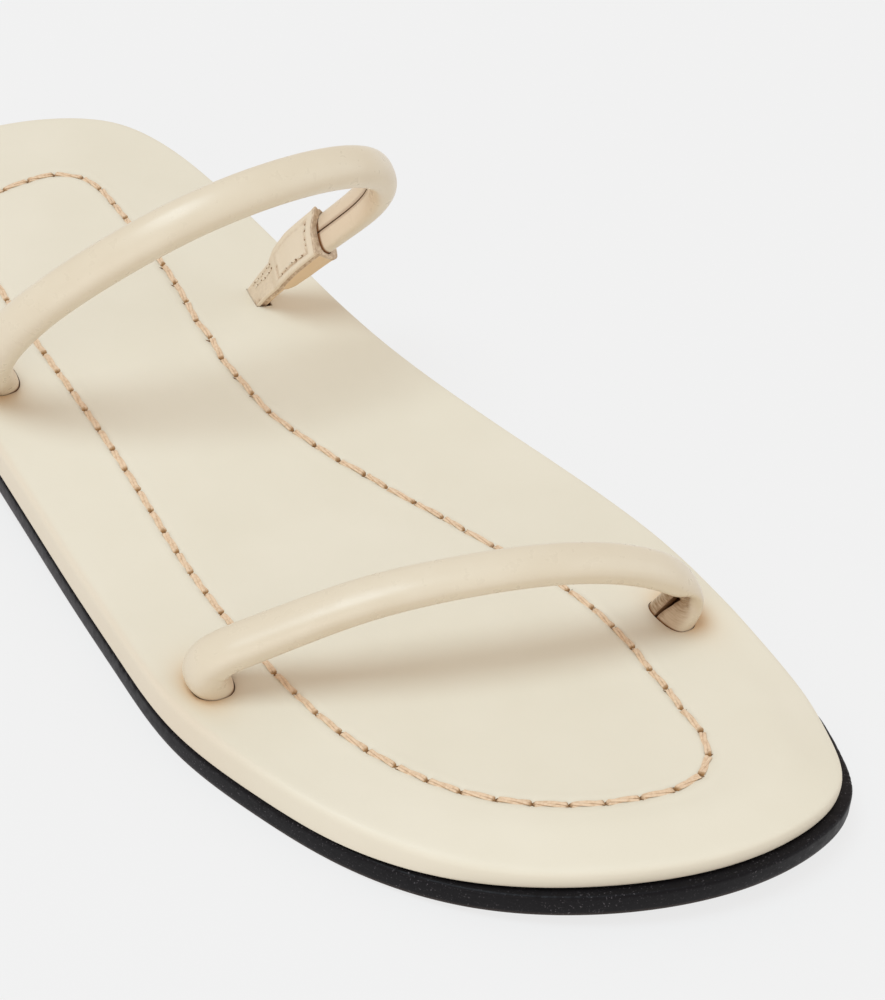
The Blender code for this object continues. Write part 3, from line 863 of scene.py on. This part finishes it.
def place_section(arch, place, section):
    centre, width, out = arch.frame(place)
    return centre + section[:, :1] * width + section[:, 1:] * out


def tube_size(strap, tube_rows, share):
    """Width and thickness of a strap at a share of its length."""
    width, thick = columns_at(tube_rows, share, "width", "thick")
    return strap.width * width, strap.thick * thick


def strap_places(end, fine):
    """Where a strap's sections stand, closer together in the last part if that is to be fine."""
    coarse_end = end - fine
    coarse = np.linspace(0.0, coarse_end, round(coarse_end / SECTION_PITCH))
    return np.concatenate([coarse, np.linspace(coarse_end, end, round(fine / FINE_PITCH) + 1)[1:]])


def strap_marks(angles, place, end, held, cave_shade_on):
    """Shares of painted shade round one section, outside then inside: warm shade on the foot's side, shade in
    the cave at the front strap's medial end, and dark shade on the hidden part, the seam's lips and the
    tube's inside.
    """
    inside = np.ones(TUBE_SIDES)
    lips = np.zeros(TUBE_SIDES)
    lips[[0, -1]] = LIP_SHADE
    # Painted warm shade on the side facing the foot
    facing = ease(-np.sin(angles))
    # Painted shade in the cave at the medial end, only on a strap given it
    cave_shade = ease((place - end + CAVE_SHADE_LENGTH) / CAVE_SHADE_RUN) * cave_shade_on
    at_top = ease((end - place - CAVE_SHADE_TOP) / CAVE_SHADE_RUN)
    strength = CAVE_SHADE_AT_TOE + (1.0 - CAVE_SHADE_AT_TOE) * np.maximum(ease(0.5 - np.cos(angles)), at_top)
    # Painted shade where the strap is hidden, on the seam's lips and on the tube's inside
    sunk = 1.0 - ease((min(place - SLIT_DEPTH, end - place - held) + SUNK_FROM) / SUNK_RUN)
    return {
        "inner": np.concatenate([facing, inside]),
        "cave_shade": np.concatenate([facing * strength, inside]) * cave_shade,
        "recess_shade": np.concatenate([np.maximum(sunk, lips), inside]),
    }


def strap_piece(name, strap, arch, tables, end, held, fine, material):
    """Rolled leather tube from the lateral slit to a distance along its arch, where its last part is held."""
    tube_rows, seam_rows, creases = tables
    seam_at, *seam_columns = zip(*seam_rows)
    surface = Surface()
    sections = []
    marks = []
    for place in strap_places(end, fine):
        width, thick = tube_size(strap, tube_rows, place / end)
        seam = [between_rows(place / end, seam_at, values) for values in seam_columns]
        section = rolled_section(width, thick, strap.wall, seam, creases, place)
        sections.append(place_section(arch, place, section))
        marks.append(strap_marks(tube_angles(width, seam[0]), place, end, held, fine > 0.0))
    surface.loft(sections)
    item = surface.piece(name, material)
    for mark in marks[0]:
        paint(item, mark, np.concatenate([values[mark] for values in marks]))
    return item


def strap_cutter(name, strap, arch, tube_rows, end, places, gap):
    """Filled tube a little larger than the strap, for the slit or pocket that holds it."""
    surface = Surface()
    sections = []
    for place in places:
        width, thick = tube_size(strap, tube_rows, place / end)
        sections.append(place_section(arch, place, filled_section(width + 2.0 * gap, thick + 2.0 * gap)))
    surface.loft(sections)
    return surface.piece(name, None)


def tail_cutter(name, arch, places):
    """Slit for the tab's tail, a little larger than it all round."""
    width, thick = tab_size(TAB_LENGTH)
    half, face = width / 2.0 + SLIT_GAP, thick / 2.0 + SLIT_GAP
    front, back = tab_forward(TAB_LENGTH) + half, tab_forward(TAB_LENGTH) - half
    section = np.array([(front, -face), (front, face), (back, face), (back, -face)])
    surface = Surface()
    surface.loft([place_section(arch, place, section) for place in places])
    return surface.piece(name, None)


def tab_size(down):
    """Width and thickness of the tab at a distance down from its collar."""
    return columns_at(TAB, down, "width", "thick")


def tab_forward(down):
    """How far the tab's middle lies towards the toe from the strap's centre line."""
    return columns_at(TAB, down, "forward")[0]


def tab_face(down):
    """How far the tab's facing lies from the strap's centre line, towards the foot."""
    return tab_size(down)[1] / 2.0 + TAB_SHIFT * (1.0 - ease(down / TAB_SHIFT_END))


def tab_point(arch, collar, down, spots):
    """Spots of the tab's section (across, out) in the shoe; the collar reaches further up at the heel."""
    centre, wide, out = arch.frame(collar + down)
    across = tab_forward(down) + spots[:, :1]
    at_heel = ease(-2.0 * spots[:, :1] / TAB[0].width) * ease(-spots[:, 1:] / TAB_SKEW_DEPTH)
    lead = TAB_SKEW * at_heel * (1.0 - ease(down / TAB_SKEW_RUN))
    return centre + across * wide + spots[:, 1:] * out - lead * np.cross(out, wide)


def tab_seam(down, across, half):
    """Sewn groove round the facing's panel: strong at the collar and the toe's side, faint elsewhere."""
    past_side = np.abs(across) - (half - TAB_SEAM_INSET)
    past_end = max(TAB_PANEL_START - down, (down - TAB_PANEL_END) / TAB_END_SEAM_RUN)
    outside = np.maximum(past_side, past_end)
    strength = np.where(across < 0.0, TAB_REAR_SEAM, 1.0)
    near_collar = 1.0 - ease((down - TAB_PANEL_START) / TAB_DISH_RUN)
    strength = np.maximum(strength, near_collar) * (1.0 - ease((down - TAB_PANEL_END) / TAB_END_SEAM_RUN))
    return strength * hump(outside, TAB_SEAM_HALF), outside


def tab_sunk(down, across, half):
    """Depth of the facing's sewn groove and of the panel inside it."""
    groove, outside = tab_seam(down, across, half)
    return TAB_SEAM_DEPTH * groove + TAB_DISH * ease(-outside / TAB_DISH_RUN)


def tab_section(down):
    """Facing with its rim, groove between the layers, and rounded back, with a mark for each point that also
    carries painted shade towards the tail's tip.
    """
    width, thick = tab_size(down)
    lip = TAB_COLLAR_LIP * (1.0 - ease(down / TAB_COLLAR))
    half, face = width / 2.0 + lip, tab_face(down) + lip
    layers = {"facing": -face, "groove": TAB_FACING - face, "back": thick - tab_face(down) + lip}
    side = [(half - row.inset, layers[row.layer] + row.rise) for row in TAB_SIDE]
    side_marks = [TAB_MARKS[row.mark] for row in TAB_SIDE]
    across = np.linspace(-(half - TAB_SIDE[0].inset), half - TAB_SIDE[0].inset, TAB_FACE_POINTS)[1:-1]
    facing = np.column_stack([across, tab_sunk(down, across, half) - face])
    other_side = [(-a, o) for a, o in reversed(side)]
    tail = TAB_TAIL_TINT * ease((down - TAB_PANEL_END) / TAB_TAIL_RUN)
    # Painted shade towards the tail's tip on the toe's side
    tip = ease((down - TAB_TIP_SHADE_FROM) / TAB_TAIL_RUN) * ease(across / half)
    groove = TAB_GROOVE_TINT * tab_seam(down, across, half)[0]
    tint = np.maximum(np.maximum(groove, tail), tip)
    marks = [(share, 0.0) for share in tint] + side_marks + side_marks[::-1]
    return np.vstack([facing, side, other_side]), marks


def tab_piece(arch, collar, pocket, material):
    """Two layers of leather round the end of the rear strap."""
    surface = Surface()
    sections = []
    marks = []
    for down in np.linspace(0.0, TAB_LENGTH, TAB_SECTIONS):
        points, layer_marks = tab_section(down)
        sections.append(tab_point(arch, collar, down, points))
        marks.extend(TAB_MARKS["collar"] if down < TAB_COLLAR / 2.0 else mark for mark in layer_marks)
    surface.loft(sections)
    item = surface.piece("tab_layers", material)
    tree = tree_of(surface.points)
    cut(item, [pocket])
    finish_mesh(item, material)
    closest = [tree.find(point)[1] for point in points_of(item)]
    for column, name in enumerate(("raw", "back")):
        paint(item, name, [marks[number][column] for number in closest])
    return item


def add_stitch(surface, start, end, up, thread, twist):
    """One stitch of twisted plies that dives into a hole at each end."""
    way = end - start
    length = np.linalg.norm(way)
    way = way / length
    side = np.cross(up, way)
    shares = np.linspace(0.0, 1.0, thread.steps)
    from_end = np.minimum(shares, 1.0 - shares) * length
    rise = -thread.dive + (thread.dive + thread.lift) * np.sqrt(ease(from_end / thread.entry))
    middle = start + shares[:, None] * (end - start) + rise[:, None] * up
    round_angles = np.linspace(0.0, 2.0 * math.pi, PLY_SIDES, endpoint=False)
    for ply in range(thread.plies):
        wind = 2.0 * math.pi * (ply / thread.plies + thread.turns * shares) + twist
        centre = middle + thread.twist_radius * (np.cos(wind)[:, None] * side
                                                 + thread.flat * np.sin(wind)[:, None] * up)
        ring = thread.ply_radius * (np.cos(round_angles)[:, None] * side
                                    + thread.flat * np.sin(round_angles)[:, None] * up)
        surface.loft([spot + ring for spot in centre])


def end_darkness(thread, start, end, draw):
    """How dark each point of a stitch is: painted shade on the plies near their holes, where they dive in,
    more at the toe's end.
    """
    length = np.linalg.norm(end - start)
    along = np.linspace(0.0, length, thread.steps)
    reaches = [DARK_TO_TOE if spot[1] > other[1] else DARK_TO_HEEL
               for spot, other in ((start, end), (end, start))]
    dark = []
    for _ in range(thread.plies):
        first, last = (draw.uniform(*reach) for reach in reaches)
        from_start, from_end = along - DARK_FROM, length - along - DARK_FROM
        ply = np.maximum(1.0 - ease(from_start / first), 1.0 - ease(from_end / last))
        dark.append(np.repeat(ply, PLY_SIDES))
    return np.concatenate(dark)


def topstitch_piece(bed, material):
    """All stitches of the footbed's sewn line in one mesh."""
    stitch = bed.stitch
    draw = np.random.default_rng(SEED)
    wander = draw.normal(0.0, STITCH_WANDER, (stitch.count, 2))
    flat = stitch.holes + wander * (stitch.holes[:, :1] < 0.0)
    spots = np.column_stack([flat, bed.height(flat)])
    up = np.array([0.0, 0.0, 1.0])
    surface = Surface()
    dark = []
    for number in range(stitch.count):
        start, end = spots[number], spots[(number + 1) % stitch.count]
        add_stitch(surface, start, end, up, TOP_THREAD, draw.uniform(0.0, 2.0 * math.pi))
        dark.append(end_darkness(TOP_THREAD, start, end, draw))
    item = surface.piece("topstitch_thread", material)
    paint(item, "dark", np.concatenate(dark))
    return item


def hole_outline(way):
    """Chevron of painted shade at a pricked hole, seen from above: its two arms lie beside the thread."""
    side = np.array([-way[1], way[0]])
    arm = HOLE_HALF_WIDTH * side - HOLE_SWEEP * way
    other = -HOLE_HALF_WIDTH * side - HOLE_SWEEP * way
    tip = HOLE_STROKE * way
    bulge_out = HOLE_BULGE * way
    notch = HOLE_NOTCH * HOLE_STROKE * way
    return np.array([arm, 0.5 * (arm + tip) + bulge_out, tip, 0.5 * (other + tip) + bulge_out, other,
                     0.5 * other - notch, -notch, 0.5 * arm - notch])


def topstitch_holes_piece(bed, material):
    """Painted shade of the pricked holes between the stitches: a thin dark plug that lies in each dent."""
    stitch = bed.stitch
    surface = Surface()
    for number, spot in enumerate(stitch.holes):
        run = stitch.holes[(number + 1) % stitch.count] - stitch.holes[number - 1]
        flat = spot + hole_outline(run / np.linalg.norm(run))
        height = bed.height(flat)
        surface.loft([np.column_stack([flat, height + shift]) for shift in (-HOLE_SUNK, HOLE_PROUD)])
    return surface.piece("topstitch_hole_shade", material)


def tab_sewing(arch, collar):
    """Stitches and holes of the tab: spots of each stitch's start and end, with the way out of the facing."""
    draw = np.random.default_rng(SEED)

    def spot(down, across):
        _, wide, out = arch.frame(collar + down)
        sunk = tab_sunk(down, np.array([across]), tab_size(down)[0] / 2.0)[0]
        return tab_point(arch, collar, down, np.array([[across, sunk - tab_face(down)]]))[0], -out, wide

    for row in TAB_SEAMS:
        start, end = np.array([row.down, row.across]), np.array([row.to_down, row.to_across])
        length = np.linalg.norm(end - start)
        count = round(length / TAB_STITCH_PITCH)
        for number in range(count):
            first = start + (end - start) * number / count + draw.normal(0.0, TAB_STITCH_WANDER, 2)
            last = first + (end - start) / length * TAB_STITCH_LENGTH
            yield spot(*first), spot(*last), draw.uniform(*TAB_HOLE_RADIUS)


def tab_thread_piece(arch, collar, material):
    surface = Surface()
    for (start, up, _), (end, _, _), _ in tab_sewing(arch, collar):
        add_stitch(surface, start, end, up, TAB_THREAD, 0.0)
    return surface.piece("tab_thread", material)


def tab_holes_piece(arch, collar, material):
    """Painted shade of the pricked holes at the start of each of the tab's stitches, each a thin dark plug.
    """
    surface = Surface()
    turns = np.linspace(0.0, 2.0 * math.pi, PLY_SIDES, endpoint=False)
    for (start, up, wide), _, radius in tab_sewing(arch, collar):
        ring = radius * (np.cos(turns)[:, None] * wide + np.sin(turns)[:, None] * np.cross(up, wide))
        surface.loft([start + ring + shift * up for shift in (-HOLE_SUNK, HOLE_PROUD)])
    return surface.piece("tab_hole_shade", material)


# One layer of a leather's or rubber's grain
Grain = namedtuple("Grain", "height depth strength")
GLOSS_SPREAD = (0.3, 0.7)
CLOUD_SPREAD = (0.35, 0.68)
STREAK_SPREAD = (0.35, 0.65)


class Shader:
    """A node material built link by link round one Principled shader."""

    def __init__(self, name, colour, roughness, **constants):
        self.material = bpy.data.materials.new(name)
        self.material.use_nodes = True
        self.tree = self.material.node_tree
        self.main = self.tree.nodes["Principled BSDF"]
        self.main.inputs["Base Color"].default_value = (*colour, 1.0)
        self.main.inputs["Roughness"].default_value = roughness
        for socket, value in constants.items():
            self.main.inputs[socket.replace("_", " ")].default_value = value
        self.place = self.tree.nodes.new('ShaderNodeTexCoord').outputs["Object"]

    def add(self, kind, links=(), **inputs):
        """New node with named input values, and links given as (output, input name or number)."""
        node = self.tree.nodes.new(kind)
        for name, value in inputs.items():
            node.inputs[name.replace("_", " ")].default_value = value
        for output, socket in links:
            self.tree.links.new(output, node.inputs[socket])
        return node

    def feed(self, socket, value):
        """Link an output to a socket, or set the socket to a number or a colour."""
        if isinstance(value, bpy.types.NodeSocket):
            self.tree.links.new(value, socket)
        else:
            socket.default_value = (*value, 1.0) if isinstance(value, tuple) else value

    def noise(self, size, detail=4.0, roughness=0.55, squeeze=(1.0, 1.0, 1.0)):
        """Cloudy value from 0 to 1 with features of a size in millimetres, longer where squeezed."""
        place = self.tree.nodes.new('ShaderNodeVectorMath')
        place.operation = 'MULTIPLY'
        place.inputs[1].default_value = squeeze
        self.tree.links.new(self.place, place.inputs[0])
        node = self.add('ShaderNodeTexNoise', [(place.outputs[0], "Vector")], Scale=1.0 / (size * MM),
                        Detail=detail, Roughness=roughness)
        return node.outputs["Fac"]

    def cells(self, size):
        """Distance from cell centres, with cells of a size in millimetres."""
        node = self.add('ShaderNodeTexVoronoi', [(self.place, "Vector")], Scale=1.0 / (size * MM))
        return node.outputs["Distance"]

    def stored(self, name, share=None):
        """A number painted on the points, or a share of it."""
        node = self.tree.nodes.new('ShaderNodeAttribute')
        node.attribute_name = name
        return node.outputs["Fac"] if share is None else self.times(node.outputs["Fac"], share)

    def ramp(self, value, low, high, to_low=0.0, to_high=1.0):
        node = self.add('ShaderNodeMapRange', [(value, "Value")], From_Min=low, From_Max=high,
                        To_Min=to_low, To_Max=to_high)
        return node.outputs["Result"]

    def times(self, first, second):
        node = self.tree.nodes.new('ShaderNodeMath')
        node.operation = 'MULTIPLY'
        self.feed(node.inputs[0], first)
        self.feed(node.inputs[1], second)
        return node.outputs[0]

    def blend(self, share, first, second):
        """Mix of two colours, each given as a colour or an output."""
        node = self.tree.nodes.new('ShaderNodeMix')
        node.data_type = 'RGBA'
        self.tree.links.new(share, node.inputs["Factor"])
        sockets = [socket for socket in node.inputs if socket.type == 'RGBA']
        for value, socket in zip((first, second), sockets):
            self.feed(socket, value)
        return [socket for socket in node.outputs if socket.type == 'RGBA'][0]

    def colour(self, output):
        self.tree.links.new(output, self.main.inputs["Base Color"])

    def gloss(self, size, low, high):
        """Roughness that wanders between two values over patches of a size in millimetres."""
        wander = self.ramp(self.noise(size), *GLOSS_SPREAD, low, high)
        self.tree.links.new(wander, self.main.inputs["Roughness"])

    def bump(self, layers):
        """Stack of bumps, each with its depth in millimetres."""
        normal = None
        for layer in layers:
            node = self.add('ShaderNodeBump', [(layer.height, "Height")], Distance=layer.depth * MM,
                            Strength=layer.strength)
            if normal is not None:
                self.tree.links.new(normal, node.inputs["Normal"])
            normal = node.outputs["Normal"]
        self.tree.links.new(normal, self.main.inputs["Normal"])


# Colours
CREAM = (0.745, 0.690, 0.560)
CREAM_PALE = (0.770, 0.715, 0.588)
# Painted warm shade round the straps' slits
CREAM_SLIT_SHADE = (0.64, 0.42, 0.22)
# Painted shade along the footbed's top edge
CREAM_EDGE_SHADE = (0.70, 0.60, 0.47)
# Painted shade in slits, seams and hidden parts
SLIT_SHADE_BROWN = (0.20, 0.085, 0.03)
STRAP_CREAM = (0.695, 0.608, 0.466)
STRAP_PALE = (0.720, 0.638, 0.498)
# Painted warm shade on the straps' foot side; also the raw edges' streaks and the tab thread's darker tone
STRAP_INNER = (0.71, 0.565, 0.41)
# Painted shade in the cave at the front strap's medial end
STRAP_CAVE_SHADE = (0.20, 0.105, 0.035)
TAB_FACE = (0.735, 0.630, 0.485)
TAB_BACK = (0.73, 0.53, 0.32)
RAW_EDGE = (0.34, 0.205, 0.11)
THREAD_PEACH = (0.77, 0.58, 0.40)
THREAD_DARK = (0.60, 0.395, 0.23)
# Painted shade where the thread dives into its holes
THREAD_END_SHADE = (0.34, 0.18, 0.065)
# Painted shade of the pricked holes
HOLE_SHADE_BROWN = (0.13, 0.065, 0.028)
HOLE_SHADE_TAN = (0.30, 0.17, 0.08)
SOLE_BLACK = (0.0065, 0.0058, 0.007)
# Painted sheen on the outsole's side
SOLE_SHEEN = (0.040, 0.034, 0.038)
SOLE_GREY = (0.10, 0.092, 0.10)
SOLE_BROWN = (0.045, 0.026, 0.016)


def footbed_leather():
    look = Shader("footbed_leather", CREAM, 0.5, Specular_IOR_Level=0.3)
    clouds = look.ramp(look.noise(26.0, detail=3.0), *CLOUD_SPREAD)
    toned = look.blend(clouds, CREAM, CREAM_PALE)
    # Painted shade along the top edge on the little-toe side
    edge_shaded = look.blend(look.stored("rim", share=0.6), toned, CREAM_EDGE_SHADE)
    # Painted warm shade round the straps' slits
    slit_shaded = look.blend(look.stored("slit_shade", share=0.75), edge_shaded, CREAM_SLIT_SHADE)
    # Painted shade in the insides of the slits
    look.colour(look.blend(look.stored("recess_shade"), slit_shaded, SLIT_SHADE_BROWN))
    look.gloss(size=3.0, low=0.48, high=0.6)
    look.bump([
        Grain(look.noise(2.2, detail=3.0), depth=0.04, strength=0.3),
        Grain(look.cells(0.42), depth=0.02, strength=0.2),
        Grain(look.noise(0.22), depth=0.015, strength=0.2),
    ])
    return look.material


def strap_leather():
    look = Shader("strap_leather", STRAP_CREAM, 0.3, Specular_IOR_Level=0.34)
    clouds = look.ramp(look.noise(14.0, detail=3.0), *CLOUD_SPREAD)
    toned = look.blend(clouds, STRAP_CREAM, STRAP_PALE)
    # Painted warm shade on the foot's side and the inside of the tube
    inner = look.blend(look.stored("inner", share=0.85), toned, STRAP_INNER)
    streaks = look.ramp(look.noise(0.3, detail=3.0, squeeze=(0.15, 0.15, 1.0)), *STREAK_SPREAD, to_low=0.5)
    # Painted shade in the cave at the front strap's medial end, broken by fine streaks
    cave_shade = look.blend(look.times(look.stored("cave_shade"), streaks), inner, STRAP_CAVE_SHADE)
    # Painted shade on the hidden part, the seam's lips and the tube's inside
    look.colour(look.blend(look.stored("recess_shade"), cave_shade, SLIT_SHADE_BROWN))
    look.gloss(size=2.4, low=0.26, high=0.33)
    look.bump([Grain(look.noise(0.5, detail=1.0), depth=0.03, strength=0.3)])
    return look.material


def tab_leather():
    look = Shader("tab_leather", STRAP_CREAM, 0.55, Specular_IOR_Level=0.4)
    streaks = look.ramp(look.noise(0.8, detail=5.0, roughness=0.7), *STREAK_SPREAD)
    raw_tone = look.blend(streaks, RAW_EDGE, STRAP_INNER)
    layered = look.blend(look.stored("back", share=0.9), TAB_FACE, TAB_BACK)
    # Raw edge's tone, and painted shade towards the tail's tip
    look.colour(look.blend(look.stored("raw"), layered, raw_tone))
    look.gloss(size=1.2, low=0.48, high=0.65)
    look.bump([
        Grain(look.noise(0.7), depth=0.08, strength=0.4),
        Grain(look.cells(0.35), depth=0.03, strength=0.3),
    ])
    return look.material


def thread(name, pale, dark):
    look = Shader(name, pale, 0.6, Specular_IOR_Level=0.3, Sheen_Weight=0.15)
    toned = look.blend(look.ramp(look.noise(0.7), low=0.45, high=0.75), pale, dark)
    # Painted shade on the plies near their holes
    look.colour(look.blend(look.stored("dark"), toned, THREAD_END_SHADE))
    look.bump([Grain(look.noise(0.12, detail=2.0), depth=0.03, strength=0.4)])
    return look.material


def pricked_hole_shade():
    # Painted shade of the pricked holes, dark brown to tan
    look = Shader("pricked_hole_shade", HOLE_SHADE_BROWN, 0.9, Specular_IOR_Level=0.1)
    look.colour(look.blend(look.noise(0.4), HOLE_SHADE_BROWN, HOLE_SHADE_TAN))
    return look.material


def sole_rubber():
    look = Shader("sole_rubber", SOLE_BLACK, 0.38, Specular_IOR_Level=0.12)
    specks = look.ramp(look.noise(0.35, detail=2.0), low=0.62, high=0.72)
    patches = look.ramp(look.noise(9.0, detail=3.0), low=0.36, high=0.6)
    # Painted sheen, lighter towards the heel and below the top edge
    painted_sheen = look.blend(look.stored("painted_sheen"), SOLE_BLACK, SOLE_SHEEN)
    worn = look.blend(look.times(specks, patches), painted_sheen, SOLE_GREY)
    look.colour(look.blend(look.stored("foot_rim", share=0.8), worn, SOLE_BROWN))
    look.gloss(size=1.5, low=0.36, high=0.5)
    look.bump([
        Grain(look.noise(0.9), depth=0.05, strength=0.4),
        Grain(look.noise(0.2), depth=0.03, strength=0.35),
    ])
    return look.material


def dress(item, slot, *nodes):
    """Tie a piece to the frame."""
    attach(item, BODY)
    if nodes:
        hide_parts(*nodes)


def slits_of(front, rear):
    """The slits of the straps, then that of the tab's tail."""
    return [
        slit_at(front, SLIT_DEPTH, *tube_size(FRONT, FRONT_TUBE, 0.0)),
        slit_at(front, front.length - SLIT_DEPTH, *tube_size(FRONT, FRONT_TUBE, 1.0)),
        slit_at(rear, SLIT_DEPTH, *tube_size(REAR, REAR_TUBE, 0.0)),
        slit_at(rear, rear.length - SLIT_DEPTH, *tab_size(TAB_LENGTH)),
    ]


def slit_cutters(front, rear, rear_end):
    """What is cut out of the footbed for the ends of the straps and the tab's tail."""
    reach = np.linspace(-SLIT_GAP, SLIT_REACH, SLIT_SECTIONS)
    far = front.length - reach
    return [
        strap_cutter("front_lateral_slit", FRONT, front, FRONT_TUBE, front.length, reach, SLIT_GAP),
        strap_cutter("front_medial_slit", FRONT, front, FRONT_TUBE, front.length, far, SLIT_GAP),
        strap_cutter("rear_lateral_slit", REAR, rear, REAR_TUBE, rear_end, reach, SLIT_GAP),
        tail_cutter("tab_slit", rear, rear.length - reach),
    ]


def build_slide():
    strap_look, hole_shade_look = strap_leather(), pricked_hole_shade()
    front = Arch(FRONT, FRONT_ARCH)
    rear = Arch(REAR, REAR_ARCH)
    collar = rear.length - TAB_LENGTH
    rear_end = collar + TAB_OVERLAP
    bed = Bed(Topstitch(), slits_of(front, rear))
    cutters = slit_cutters(front, rear, rear_end)
    dress(footbed_piece(bed, cutters, footbed_leather()), "footbed_leather", "footbed")
    dress(outsole_piece(sole_rubber()), "sole_rubber", "outsole")
    tables = FRONT_TUBE, FRONT_SEAM, FRONT_CREASES
    front_item = strap_piece("front_strap_leather", FRONT, front, tables, front.length, SLIT_DEPTH,
                             FINE_LENGTH, strap_look)
    dress(front_item, "strap_leather", "front_strap")
    tables = REAR_TUBE, REAR_SEAM, REAR_CREASES
    rear_item = strap_piece("rear_strap_leather", REAR, rear, tables, rear_end,
                            TAB_OVERLAP + COLLAR_SHADE, 0.0, strap_look)
    dress(rear_item, "strap_leather", "rear_strap")
    places = np.linspace(collar - POCKET_LEAD, rear_end + GAP, SLIT_SECTIONS)
    pocket = strap_cutter("tab_pocket", REAR, rear, REAR_TUBE, rear_end, places, POCKET_GAP)
    dress(tab_piece(rear, collar, pocket, tab_leather()), "tab_leather", "rear_strap_tab")
    dress(tab_thread_piece(rear, collar, thread("tab_thread", STRAP_PALE, STRAP_INNER)), None)
    dress(tab_holes_piece(rear, collar, hole_shade_look), None)
    dress(topstitch_piece(bed, thread("topstitch_thread", THREAD_PEACH, THREAD_DARK)), None)
    dress(topstitch_holes_piece(bed, hole_shade_look), None)


def add_camera():
    data = bpy.data.cameras.new("camera")
    data.lens = CAMERA_LENS
    data.clip_start = CAMERA_NEAR
    item = bpy.data.objects.new("camera", data)
    turn = Matrix.Rotation(math.radians(CAMERA_YAW_DEG), 4, 'Z')
    tilt = Matrix.Rotation(math.radians(90.0 - CAMERA_TILT_DEG), 4, 'X')
    roll = Matrix.Rotation(math.radians(CAMERA_ROLL_DEG), 4, 'Z')
    item.matrix_world = Matrix.Translation(Vector(CAMERA_PLACE) * MM) @ turn @ tilt @ roll
    bpy.context.scene.collection.objects.link(item)
    bpy.context.scene.camera = item


# Soft lights: bearing and height in degrees, distance and size in metres, power in watts, and tint
COOL = (0.81, 1.0, 1.13)
WARM = (1.15, 1.0, 0.90)
SOFT = (1.03, 1.0, 0.975)
LIGHTS = table(
    "name bearing_deg height_deg distance size power colour",
    ("key", 84.0, 71.5, 2.4, 1.25, 25.6, COOL), ("front_fill", 122.0, 14.0, 1.8, 1.6, 8.6, SOFT),
    ("side_fill", 235.0, 28.0, 1.8, 1.6, 4.5, COOL),
)
SKY_MEAN = 0.645
SKY_SLOPE = (-0.09, -0.06, -0.14)
FLOOR_SIZE = 40.0
FLOOR_PALE = (0.10, 0.10, 0.10)
FLOOR_GLOW = 0.772


def add_lights():
    for row in LIGHTS:
        bearing, height = math.radians(row.bearing_deg), math.radians(row.height_deg)
        level = math.cos(height)
        way = Vector((math.sin(bearing) * level, -math.cos(bearing) * level, math.sin(height)))
        data = bpy.data.lights.new(row.name, 'AREA')
        data.shape = 'DISK'
        data.size = row.size
        data.energy = row.power
        data.color = row.colour
        item = bpy.data.objects.new(row.name, data)
        item.location = way * row.distance
        item.rotation_euler = (-way).to_track_quat('-Z', 'Y').to_euler()
        bpy.context.scene.collection.objects.link(item)


def add_sky():
    """Plain pale surroundings, brighter behind the shoe and darker overhead and in front of it."""
    world = bpy.data.worlds.new("studio")
    world.use_nodes = True
    tree = world.node_tree
    background = tree.nodes["Background"]
    background.inputs["Color"].default_value = (*WARM, 1.0)
    way = tree.nodes.new('ShaderNodeTexCoord')
    slope = tree.nodes.new('ShaderNodeVectorMath')
    slope.operation = 'DOT_PRODUCT'
    slope.inputs[1].default_value = SKY_SLOPE
    level = tree.nodes.new('ShaderNodeMath')
    level.inputs[1].default_value = SKY_MEAN
    tree.links.new(way.outputs["Generated"], slope.inputs[0])
    tree.links.new(slope.outputs["Value"], level.inputs[0])
    tree.links.new(level.outputs[0], background.inputs["Strength"])
    bpy.context.scene.world = world


def add_floor():
    """Pale floor that glows a little, as a light table does, so that shadows on it stay faint."""
    look = Shader("floor", FLOOR_PALE, 0.9, Specular_IOR_Level=0.1, Emission_Color=(1.0, 1.0, 1.0, 1.0),
                  Emission_Strength=FLOOR_GLOW)
    look.material.cycles.emission_sampling = 'NONE'
    surface = Surface()
    half = FLOOR_SIZE / 2.0 / MM
    corners = surface.add([(-half, -half, 0.0), (half, -half, 0.0), (half, half, 0.0), (-half, half, 0.0)])
    surface.faces.append(corners.tolist())
    surface.piece("floor", look.material)


build_slide()
add_floor()
add_lights()
add_sky()
add_camera()
bpy.context.scene.view_settings.view_transform = 'Standard'
